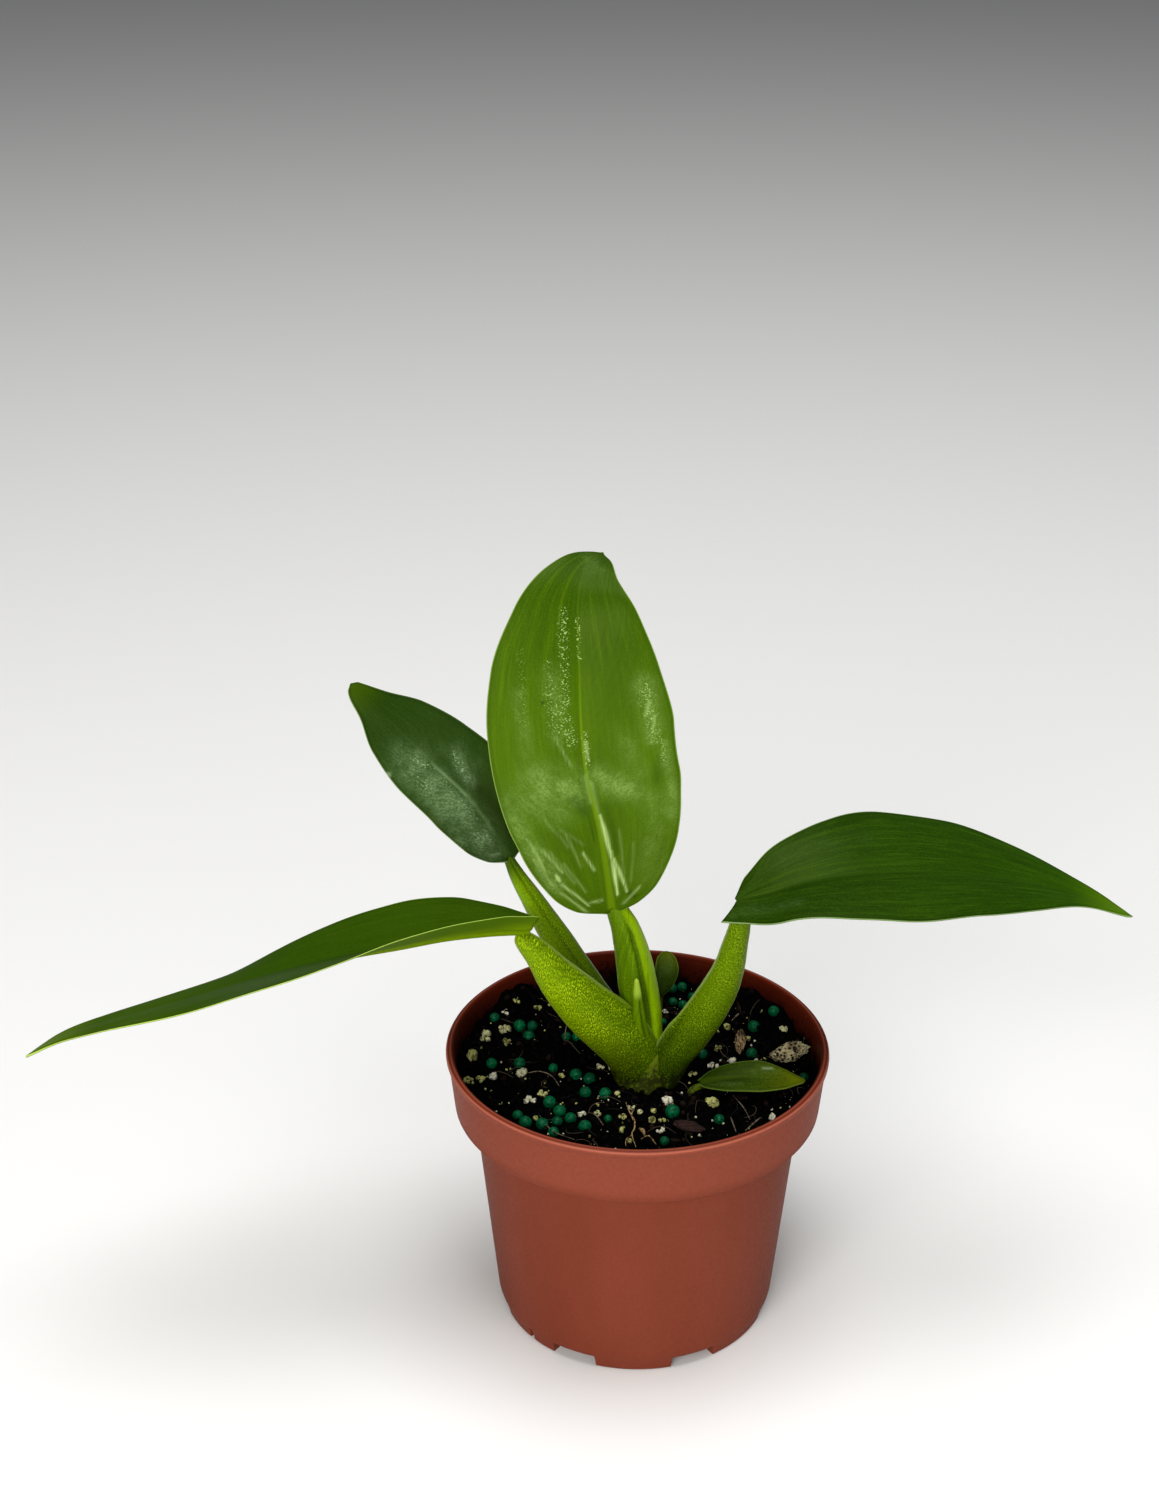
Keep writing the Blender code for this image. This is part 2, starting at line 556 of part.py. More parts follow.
def blade_solid(name, spec, collection, grow=0.0):
    """Return a blade: two faces split alike, closed round the margin, with its rib raised underneath."""
    small = spec["rib"] < SMALL_RIB
    stations = SMALL_STATIONS if small else BLADE_STATIONS
    across = SMALL_ACROSS if small else BLADE_ACROSS
    surface, normals = blade_surface(spec, stations, across)
    s = np.linspace(0.0, 1.0, stations)[:, None]
    t = np.abs(np.array(across))[None, :]
    rib = spec["rib"] * np.clip(1 - t / RIB_REACH, 0, 1) * (1 - s) ** 0.7
    half = BLADE_THICKNESS / 2 + grow
    upper = surface + normals * half
    lower = surface - normals * (half + rib)[..., None]
    verts = np.vstack([upper.reshape(-1, 3), lower.reshape(-1, 3)])
    columns = len(across)
    below = stations * columns
    faces = []
    for i in range(stations - 1):
        for j in range(columns - 1):
            a = i * columns + j
            b, c, d = a + 1, a + columns + 1, a + columns
            faces += [(a, b, c), (a, c, d)]
            faces += [(below + a, below + c, below + b), (below + a, below + d, below + c)]
    rim = [(i, 0) for i in range(stations)]
    rim += [(stations - 1, j) for j in range(1, columns)]
    rim += [(i, columns - 1) for i in range(stations - 2, -1, -1)]
    rim += [(0, j) for j in range(columns - 2, 0, -1)]
    ring = [i * columns + j for i, j in rim]
    for a, b in zip(ring, ring[1:] + ring[:1]):
        faces += [(a, b, below + b), (a, below + b, below + a)]
    return mesh_object(name, verts, faces, collection)


def tube(name, centres, wide, deep, across, behind, sides, collection):
    """Return a closed loft of ellipses, whose half widths lie along across and half depths along behind."""
    angles = np.arange(sides) * 2 * math.pi / sides
    verts = []
    for centre, w, d, x_axis, y_axis in zip(centres, wide, deep, across, behind):
        for angle in angles:
            verts.append(centre + x_axis * w * math.cos(angle) + y_axis * d * math.sin(angle))
    faces = []
    for i in range(len(centres) - 1):
        for j in range(sides):
            k = (j + 1) % sides
            a, b = i * sides + j, i * sides + k
            faces.append((a, b, b + sides, a + sides))
    last = (len(centres) - 1) * sides
    faces.append(tuple(range(sides - 1, -1, -1)))
    faces.append(tuple(range(last, last + sides)))
    return mesh_object(name, verts, faces, collection)


def stalk_solid(name, sections, collection, grow=0.0):
    """Return a leaf stalk: a loft that swells from the blade down to the crown."""
    slim = max(section[3] for section in sections) < SLIM_STALK
    path = smooth_path(sections, SLIM_STATIONS if slim else STALK_STATIONS)
    centres = path[:, :3]
    tangent = unit(np.gradient(centres, axis=0))
    if grow:
        centres[0] -= tangent[0] * grow
        centres[-1] += tangent[-1] * grow
    across = unit(np.cross(tangent, np.array(STALK_BACK)))
    behind = np.cross(across, tangent)
    sides = SLIM_SIDES if slim else STALK_SIDES
    return tube(name, centres, path[:, 3] + grow, path[:, 4] + grow, across, behind, sides, collection)


def crown_solid(name, collection, grow=0.0):
    """Return the short stem that stands in the soil."""
    count = len(CROWN_SECTIONS)
    heights = [section[0] for section in CROWN_SECTIONS]
    heights[0] -= grow
    heights[-1] += grow
    centres = [np.array((*CROWN_PLACE, z)) for z in heights]
    wide = [section[1] + grow for section in CROWN_SECTIONS]
    deep = [section[2] + grow for section in CROWN_SECTIONS]
    across = [np.array((1.0, 0.0, 0.0))] * count
    behind = [np.array((0.0, 1.0, 0.0))] * count
    return tube(name, centres, wide, deep, across, behind, STALK_SIDES, collection)


def lump_solid(name, lump, collection, grow=0.0):
    """Return an irregular stone or chip: a low icosphere with seeded bumps, fitted to its size."""
    place, size, turns, seed = lump
    draw = random.Random(seed)
    shape = bmesh.new()
    bmesh.ops.create_icosphere(shape, subdivisions=2, radius=1.0)
    for vert in shape.verts:
        vert.co *= 1 + draw.uniform(-LUMP_ROUGHNESS, LUMP_ROUGHNESS)
    widest = [max(abs(vert.co[k]) for vert in shape.verts) for k in range(3)]
    half = [(length / 2 + grow) * MM / most for length, most in zip(size, widest)]
    shape.transform(Matrix.Diagonal((*half, 1.0)))
    shape.transform(Euler([math.radians(turn) for turn in turns]).to_matrix().to_4x4())
    shape.transform(Matrix.Translation([value * MM for value in place]))
    return shape_object(name, shape, collection)


def evaluated_mesh(obj):
    """Return a new mesh of the object with its modifiers applied."""
    graph = bpy.context.evaluated_depsgraph_get()
    return bpy.data.meshes.new_from_object(obj.evaluated_get(graph))


def islands(shape):
    """Return the mesh's connected groups of vertices."""
    left = set(shape.verts)
    groups = []
    while left:
        group = [left.pop()]
        for vert in group:
            for edge in vert.link_edges:
                other = edge.other_vert(vert)
                if other in left:
                    left.remove(other)
                    group.append(other)
        groups.append(group)
    return groups


def apply_modifiers(obj):
    """Apply the object's modifiers, and drop any scrap that a cut leaves loose."""
    mesh = evaluated_mesh(obj)
    obj.modifiers.clear()
    shape = bmesh.new()
    shape.from_mesh(mesh)
    bmesh.ops.remove_doubles(shape, verts=shape.verts, dist=MERGE)
    groups = sorted(islands(shape), key=len)
    for group in groups[:-1]:
        bmesh.ops.delete(shape, geom=group, context="VERTS")
    bmesh.ops.triangulate(shape, faces=shape.faces)
    shape.to_mesh(obj.data)
    shape.free()
    bpy.data.meshes.remove(mesh)


def boolean(obj, operation, other=None, group=None):
    """Join or cut the object with another object, or with a collection of them, and apply it."""
    modifier = obj.modifiers.new(operation.title(), "BOOLEAN")
    modifier.operation = operation
    modifier.solver = "EXACT"
    if group:
        modifier.operand_type = "COLLECTION"
        modifier.collection = group
    else:
        modifier.object = other
    bpy.context.view_layer.update()
    apply_modifiers(obj)


def cut_with(obj, cutters):
    """Cut the object with each cutter in turn, and remove the cutters."""
    for cutter in cutters:
        boolean(obj, "DIFFERENCE", other=as_cutter(cutter))
        bpy.data.objects.remove(cutter, do_unlink=True)


def body_radius(z):
    """Return the pot body's outer radius at a height below the collar."""
    share = z / COLLAR_BOTTOM_Z
    return FOOT_RADIUS + (BODY_TOP_RADIUS - FOOT_RADIUS) * share


def collar_radius(z):
    """Return the collar's outer radius at a height."""
    share = (z - COLLAR_BOTTOM_Z) / (POT_HEIGHT - INSIDE_TOP - COLLAR_BOTTOM_Z)
    return COLLAR_BOTTOM_RADIUS + (COLLAR_TOP_RADIUS - COLLAR_BOTTOM_RADIUS) * share


def pot_inner_profile():
    """Return the inner wall's profile as (radius, height), from the floor up to the lip."""
    floor = FLOOR_UNDERSIDE_Z + FLOOR_THICKNESS
    start, middle, end = [COLLAR_BOTTOM_Z + height for height in INNER_STEP_HEIGHTS]
    return [
        (body_radius(floor) - WALL - FLOOR_CORNER, floor),
        (body_radius(floor + FLOOR_CORNER) - WALL, floor + FLOOR_CORNER),
        (body_radius(COLLAR_BOTTOM_Z) - WALL, start),
        (collar_radius(COLLAR_BOTTOM_Z) - WALL - INNER_STEP_IN, middle),
        (collar_radius(end) - WALL, end),
        (collar_radius(POT_HEIGHT - INSIDE_TOP) - WALL, POT_HEIGHT - INSIDE_TOP),
    ]


def pot_outer_profile():
    """Return the lip, the outer side and the foot, from the top down to the floor's underside."""
    inner_edge = FOOT_RADIUS - FOOT_EDGE[-1][0] - FOOT_WIDTH
    lip = [(LIP_RADIUS - inwards, POT_HEIGHT - down) for inwards, down in LIP_SECTION]
    side = [
        (COLLAR_TOP_RADIUS, POT_HEIGHT - LIP_BOTTOM),
        (COLLAR_BOTTOM_RADIUS, COLLAR_BOTTOM_Z + STEP_ROUND),
        (COLLAR_BOTTOM_RADIUS - STEP_ROUND, COLLAR_BOTTOM_Z),
        (BODY_TOP_RADIUS + STEP_ROUND, COLLAR_BOTTOM_Z - STEP_ROUND),
        (BODY_TOP_RADIUS, COLLAR_BOTTOM_Z - 2 * STEP_ROUND),
        (body_radius(FOOT_TOP_Z), FOOT_TOP_Z),
        (body_radius(FOOT_TOP_Z) - FOOT_SET_IN, FOOT_STEP_Z),
    ]
    foot = [(FOOT_RADIUS - inwards, height) for inwards, height in FOOT_EDGE]
    foot += [(inner_edge, 0.0), (inner_edge, FLOOR_UNDERSIDE_Z)]
    return lip + side + foot


def turned_solid(name, points, steps, collection):
    """Return a solid turned about Z from a profile that starts and ends on the axis."""
    mesh = bpy.data.meshes.new(name)
    verts = [(radius * MM, 0.0, height * MM) for radius, height in points]
    mesh.from_pydata(verts, [(i, i + 1) for i in range(len(verts) - 1)], [])
    obj = bpy.data.objects.new(name, mesh)
    collection.objects.link(obj)
    screw = obj.modifiers.new("Turn", "SCREW")
    screw.axis = "Z"
    screw.steps = steps
    screw.render_steps = steps
    screw.use_merge_vertices = True
    screw.merge_threshold = MERGE
    screw.use_smooth_shade = True
    return obj


def block(size, place, turn, collection):
    """Return a box that cuts, centred at a place and then turned about the pot's axis."""
    shape = bmesh.new()
    bmesh.ops.create_cube(shape, size=MM)
    shape.transform(Matrix.Diagonal((*size, 1.0)))
    shape.transform(Matrix.Translation([value * MM for value in place]))
    shape.transform(Matrix.Rotation(math.radians(turn), 4, "Z"))
    return shape_object("notch_cut", shape, collection)


def drain(x, y, collection):
    """Return an upright round cutter through the pot's floor."""
    radius = DRAIN_RADIUS * MM
    depth = 4 * FLOOR_THICKNESS * MM
    height = (FLOOR_UNDERSIDE_Z + FLOOR_THICKNESS / 2) * MM
    shape = bmesh.new()
    bmesh.ops.create_cone(shape, cap_ends=True, segments=16, radius1=radius, radius2=radius, depth=depth)
    shape.transform(Matrix.Translation((x * MM, y * MM, height)))
    return shape_object("drain_cut", shape, collection)


def make_pot(parts, cutters):
    """Turn the pot, then cut the foot's notches and the drain holes."""
    floor = FLOOR_UNDERSIDE_Z + FLOOR_THICKNESS
    points = [(0.0, floor)] + pot_inner_profile() + pot_outer_profile() + [(0.0, FLOOR_UNDERSIDE_Z)]
    pot = turned_solid("pot", points, POT_STEPS, parts)
    apply_modifiers(pot)
    place = (FOOT_RADIUS - FOOT_WIDTH, 0.0, 0.0)
    notch = (3 * FOOT_WIDTH, NOTCH_WIDTH, 2 * NOTCH_HEIGHT)
    nick = (3 * FOOT_WIDTH, NICK_WIDTH, 2 * NOTCH_HEIGHT)
    turns = [NOTCH_FIRST_ANGLE + k * 360 / NOTCH_COUNT for k in range(NOTCH_COUNT)]
    cuts = [block(notch, place, turn, cutters) for turn in turns]
    cuts += [block(nick, place, turn, cutters) for turn in NICK_ANGLES]
    cuts.append(drain(0.0, 0.0, cutters))
    for k in range(DRAIN_COUNT):
        angle = math.radians(DRAIN_FIRST_ANGLE + k * 360 / DRAIN_COUNT)
        x, y = DRAIN_RING_RADIUS * math.cos(angle), DRAIN_RING_RADIUS * math.sin(angle)
        cuts.append(drain(x, y, cutters))
    cut_with(pot, cuts)
    return pot


def soil_height(x, y):
    """Return the soil surface's height, in gentle heaps and hollows, banked up against the wall."""
    waves = 0.5 * np.sin(0.31 * x + 1.1) * np.cos(0.27 * y)
    waves += 0.35 * np.sin(0.63 * x - 0.41 * y + 0.6)
    waves += 0.25 * np.cos(0.52 * x + 0.71 * y + 2.0)
    angle = np.degrees(np.arctan2(y, x))
    near = np.clip((np.hypot(x, y) - BANK_FOOT) / (BANK_TOP - BANK_FOOT), 0.0, 1.0)
    bank = 0.0
    for place, half, rises in BANKS:
        away = (angle - place + 180) % 360 - 180
        bank += rises * np.exp(-(away / half) ** 4)
    return SOIL_Z + SOIL_RELIEF * waves + bank * near ** 2 * (3 - 2 * near)


def soil_body(parts):
    """Return the soil as a filled form of the pot's inside with a wavy top."""
    wall = [(radius - CLEARANCE, height + CLEARANCE) for radius, height in pot_inner_profile()[:-1]]
    edge = collar_radius(SOIL_Z) - WALL - CLEARANCE
    angles = np.arange(SOIL_SECTORS) * 2 * math.pi / SOIL_SECTORS
    verts = [(0.0, 0.0, soil_height(0, 0))]
    for ring in range(1, SOIL_RINGS + 1):
        radius = edge * ring / SOIL_RINGS
        for angle in angles:
            height = soil_height(radius * math.cos(angle), radius * math.sin(angle))
            reach = radius if ring < SOIL_RINGS else collar_radius(height) - WALL - CLEARANCE
            verts.append((reach * math.cos(angle), reach * math.sin(angle), height))
    for radius, height in reversed(wall):
        verts += [(radius * math.cos(angle), radius * math.sin(angle), height) for angle in angles]
    rings = SOIL_RINGS + len(wall)
    faces = [(0, 1 + j, 1 + (j + 1) % SOIL_SECTORS) for j in range(SOIL_SECTORS)]
    for ring in range(rings - 1):
        for j in range(SOIL_SECTORS):
            a = 1 + ring * SOIL_SECTORS + j
            b = 1 + ring * SOIL_SECTORS + (j + 1) % SOIL_SECTORS
            faces.append((a, a + SOIL_SECTORS, b + SOIL_SECTORS, b))
    last = 1 + (rings - 1) * SOIL_SECTORS
    faces.append(tuple(range(last, last + SOIL_SECTORS)))
    return mesh_object("soil", verts, faces, parts)


def scatter(clumps, draw, taken):
    """Return grains as x, y and radius, drawn in clumps, clear of the crown, the rim and each other."""
    grains = []
    for x, y, count, spread, radius in clumps:
        for _ in range(count):
            for _ in range(TRIES):
                angle = draw.uniform(0, 2 * math.pi)
                reach = spread * math.sqrt(draw.random())
                spot = (x + reach * math.cos(angle), y + reach * math.sin(angle))
                clear = all(math.dist(spot, other[:2]) > radius + other[2] for other in taken)
                off_crown = math.dist(spot, CROWN_PLACE) > CROWN_KEEP_OUT
                if clear and off_crown and math.hypot(*spot) < GRAIN_LIMIT:
                    taken.append((*spot, radius))
                    grains.append((*spot, radius))
                    break
    return grains


def grain(radius, spot, sides, squash, turn, collection):
    """Return one low grain sunk into the soil at a spot."""
    shape = bmesh.new()
    bmesh.ops.create_uvsphere(shape, u_segments=sides, v_segments=GRAIN_RINGS, radius=radius * MM)
    shape.transform(Matrix.Diagonal((1.0, squash, (1 + squash) / 2, 1.0)))
    shape.transform(Matrix.Rotation(turn, 4, "Z"))
    height = soil_height(*spot) + radius * (1 - 2 * SUNK)
    shape.transform(Matrix.Translation((spot[0] * MM, spot[1] * MM, height * MM)))
    return shape_object("grain", shape, collection)


def make_soil(parts):
    """Join the prills and the perlite to the soil."""
    soil = soil_body(parts)
    grains = make_collection("Grains")
    draw = random.Random(LITTER_SEED)
    taken = [(place[0], place[1], min(size[:2]) / 2) for place, size, _, _ in LUMPS.values()]
    prills = scatter(PRILL_CLUMPS, draw, taken)
    perlite = scatter(PERLITE_CLUMPS, draw, taken)
    for x, y, radius in prills:
        grain(radius, (x, y), PRILL_SIDES, 1.0, draw.uniform(0, math.pi), grains)
    for x, y, radius in perlite:
        grain(radius, (x, y), PERLITE_SIDES, draw.uniform(0.6, 0.9), draw.uniform(0, math.pi), grains)
    boolean(soil, "UNION", group=grains)
    for obj in list(grains.objects):
        bpy.data.objects.remove(obj, do_unlink=True)
    bpy.data.collections.remove(grains)
    return soil


def make_piece(piece, name, collection, grow=0.0):
    """Return one piece of the plant or one lump under the given name, made larger all round by grow."""
    if piece == "crown":
        return crown_solid(name, collection, grow)
    if piece in STALKS:
        return stalk_solid(name, STALKS[piece], collection, grow)
    if piece in BLADES:
        return blade_solid(name, BLADES[piece], collection, grow)
    return lump_solid(name, LUMPS[piece], collection, grow)


def main():
    """Build every piece, trim each back from its neighbours, and give each its own material."""
    clear_scene()
    parts = make_collection("Potted fat boy philodendron")
    cutters = make_collection("Cutters")
    pieces = {"pot": make_pot(parts, cutters), "soil": make_soil(parts)}
    for piece in ("crown", *STALKS, *BLADES, *LUMPS):
        pieces[piece] = make_piece(piece, piece, parts)
    for piece, neighbours in TRIMS.items():
        grown = [make_piece(other, other + "_cut", cutters, CLEARANCE) for other in neighbours]
        cut_with(pieces[piece], grown)
    axis = bpy.data.objects.new("pot_axis", None)
    axis.location = (AXIS_X * MM, 0.0, 0.0)
    parts.objects.link(axis)
    for piece, obj in pieces.items():
        obj.parent = axis
        obj.data.materials.clear()
        obj.data.materials.append(make_material(piece))
        obj.data.shade_smooth()
        obj.data.set_sharp_from_angle(angle=math.radians(SHARP_ANGLE))
    bpy.data.collections.remove(cutters)


main()
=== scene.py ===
"""Looks of the potted fat boy philodendron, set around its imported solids.

Sizes are in millimetres about the pot's axis, as the solids were drawn: the floor is z = 0, +X is to the
right and -Y to the front. in_frame() sets them over by AXIS_X and turns them into metres.
"""
import math
import random
from types import SimpleNamespace

import bmesh
import bpy
import numpy as np
from mathutils import Euler, Matrix, Vector, noise


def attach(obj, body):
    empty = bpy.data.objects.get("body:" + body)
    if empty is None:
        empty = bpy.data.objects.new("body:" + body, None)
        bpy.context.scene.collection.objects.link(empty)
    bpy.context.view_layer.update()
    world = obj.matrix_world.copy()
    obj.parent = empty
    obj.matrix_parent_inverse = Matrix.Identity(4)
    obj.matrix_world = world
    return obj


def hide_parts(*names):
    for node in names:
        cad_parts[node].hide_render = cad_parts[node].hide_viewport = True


MM = 0.001
AXIS_X = 13.04

# Camera: where it stands, how far it looks down, and its lens on a sensor as high as the picture
CAMERA_PLACE = (-15.4, -547.0, 419.0)
CAMERA_PITCH = 24.9
CAMERA_LENS = 57.6
SENSOR = 36.0

# Pot: a moulded plastic nursery pot
LIP_RADIUS = 51.0
POT_HEIGHT = 79.0
WALL = 1.5
COLLAR_TOP_RADIUS = 50.3
COLLAR_BOTTOM_RADIUS = 48.8
COLLAR_BOTTOM_Z = 62.2
INSIDE_TOP = 2.5
BODY_TOP_RADIUS = 43.8
FOOT_RADIUS = 37.4
FOOT_WIDTH = 2.2
FLOOR_UNDERSIDE_Z = 4.2
FLOOR_THICKNESS = 1.4
FLOOR_CORNER = 1.2
AXIS_RING = 0.5
# The foot's section: how far in from the body or the foot ring, and height
FOOT_SHOULDER = ((0, 5.0), (0.12, 4.0), (0.3, 3.2))
FOOT_OUTER = ((0.45, 1.6), (0.6, 0.7), (0.85, 0.2), (1.2, 0.0))
FOOT_INNER = ((1.0, 0.0), (1.25, 0.3), (1.35, 2.0), (1.45, 4.0), (1.9, FLOOR_UNDERSIDE_Z))
POT_STEPS = 480
NOTCH_COUNT = 7
NOTCH_WIDTH = 12.6
NOTCH_HEIGHT = 3.6
NOTCH_FIRST_ANGLE = -66.0
NOTCH_SLOPE = 0.5
NOTCH_ANGLES = [NOTCH_FIRST_ANGLE + k * 360 / NOTCH_COUNT for k in range(NOTCH_COUNT)]
NICK_ANGLES = (-140.0, 40.0)
NICK_WIDTH = 1.6
DRAIN_RADIUS = 3.5
DRAIN_COUNT = 6
DRAIN_RING_RADIUS = 22.0
DRAIN_FIRST_ANGLE = 10.0

# Soil, and the prills and perlite that lie in its surface
CLEARANCE = 0.3
SOIL_Z = 68.0
SOIL_RINGS = 100
SOIL_SECTORS = 400
SOIL_RELIEF = 0.8
SUNK = 0.35
GRAIN_LIMIT = 45.5
CROWN_KEEP_OUT = 9.5
TRIES = 40
LITTER_SEED = 7
# Banks of soil against the wall, as angle round the pot, half width in degrees and height, and where
# their slope starts and ends
BANKS = ((41, 19, 6.2), (76, 7, 4.5), (134, 9, 3.8), (150, 32, 4.4))
BANK_FOOT = 38.0
BANK_TOP = 47.5
# Each clump is x, y, how many grains, how far they scatter, and their radius
PRILL_CLUMPS = (
    (-38.8, 23.5, 1, 0.3, 1.35), (-32, 24.5, 1, 0.2, 1.7), (-28.4, 26, 1, 0.2, 1.5),
    (-29.5, 21.1, 1, 0.2, 1.7), (-17.4, 19, 2, 2, 1.3), (-39.3, 6.2, 1, 0.3, 1.5),
    (-31.4, 6.8, 1, 0.3, 1.6), (-22.3, 4.1, 1, 0.3, 1.3), (-16.4, 0, 1, 0.1, 1.6),
    (-12.8, -0.8, 1, 0.2, 1.7), (-13.9, -8.4, 1, 0.3, 1.6), (-8.5, -8.5, 1, 0.3, 1.6),
    (-23.4, -12.8, 1, 0.3, 1.7), (-20.5, -16.9, 1, 0.2, 1.7), (-17.7, -20, 1, 0.2, 1.6),
    (-21.3, -22.5, 1, 0.2, 1.4), (-22.1, -26.1, 1, 0.2, 1.5), (-25, -22.9, 1, 0.2, 1.7),
    (-29.4, -21.3, 1, 0.2, 1.7), (-31.6, -18.6, 1, 0.2, 1.4), (-14, -24.4, 1, 0.3, 1.7),
    (-7.8, -19.4, 1, 0.2, 1.1), (8.9, -17.6, 1, 0.2, 1.9), (6.4, -29.8, 1, 0.2, 1.3),
    (21.2, -20.9, 1, 0.3, 1.4), (44.6, -0.9, 1, 0.2, 1.3), (13.4, 39.6, 5, 4, 1.35),
    (7.9, 27.6, 1, 0.3, 1.2), (38.2, 24.4, 1, 0.1, 1.5), (33, 24.1, 1, 0.2, 1.7), (31.3, 10.8, 1, 0.3, 1.6),
    (18.2, 10.6, 1, 0.3, 1.5),
)
PERLITE_CLUMPS = (
    (-40.5, 15.9, 1, 0.2, 2.1), (-36.2, 20.8, 1, 0.2, 1.9), (-35.2, 17.2, 1, 0.1, 1.3),
    (-26.7, 31.5, 1, 0.4, 1.4), (-33, 29.6, 1, 0.3, 1.1), (-35.8, 26.4, 1, 0.2, 1.2),
    (-44.4, 5, 1, 0.3, 1.9), (-45, -3.6, 1, 0.2, 1.5), (-41.9, -2.6, 1, 0.2, 1.5),
    (-38.6, -1.6, 1, 0.2, 1.3), (-34.9, 3.4, 1, 0.3, 0.8), (-36.1, -12.8, 1, 0.3, 0.6),
    (-30.9, 1.9, 1, 0.3, 1.7), (-20.1, 0.1, 1, 0.3, 0.9), (-10.9, 11.2, 1, 0.3, 0.8),
    (-9.3, 5.3, 1, 0.2, 1.2), (-6.8, 4.4, 1, 0.1, 1.1), (-25.3, -9.6, 1, 0.3, 1.5),
    (-28.7, -12, 1, 0.3, 1.6), (-27, -19.4, 1, 0.2, 0.8), (-20.3, -12, 1, 0.2, 0.8),
    (-14.6, -17.8, 1, 0.2, 1.1), (-10.6, -17.9, 1, 0.2, 1.1), (-11.3, -13.5, 1, 0.3, 0.9),
    (-5.4, -8.6, 1, 0.2, 0.8), (-1.9, -14.1, 1, 0.2, 1.1), (-4, -19.2, 1, 0.2, 1.1),
    (0.4, -16.9, 1, 0.2, 0.8), (-4.7, -25.2, 1, 0.3, 1.3), (-2.7, -29.4, 1, 0.3, 0.8),
    (-6.9, -34.5, 1, 0.3, 0.9), (8.2, -12.1, 1, 0.2, 1.9), (6.4, -21.1, 1, 0.1, 1.3),
    (3.4, -20.3, 1, 0.2, 1.1), (4, -16.4, 1, 0.2, 0.9), (5.3, -26, 1, 0.2, 1.2), (19.3, -11.9, 1, 0.3, 1.7),
    (34.8, -19.4, 1, 0.3, 1.2), (8.5, 33.1, 1, 0.3, 1.1), (34.8, 27.4, 1, 0.2, 0.8),
    (40.8, 19.2, 1, 0.2, 1.2), (25.5, 24.5, 1, 0.3, 1.1), (31.3, 20.4, 1, 0.2, 0.8), (22, 14, 1, 0.3, 1.3),
    (20.4, 6.1, 1, 0.3, 1.5), (26.2, 7.8, 1, 0.3, 1.2), (33.8, 7.2, 2, 1.6, 0.85), (36.3, 3.4, 1, 0.3, 1.5),
    (15, 1.4, 1, 0.2, 1.2),
)

# Crown: the short stem, as height, half width and half depth from its foot up
CROWN_PLACE = (2.2, 1)
CROWN_SECTIONS = (
    (50, 4.2, 4), (55, 6.2, 5.8), (61, 7.8, 7.2), (67, 8.4, 7.6), (71, 7.8, 7), (74.5, 6.3, 5.7),
    (77, 4.2, 3.8),
)

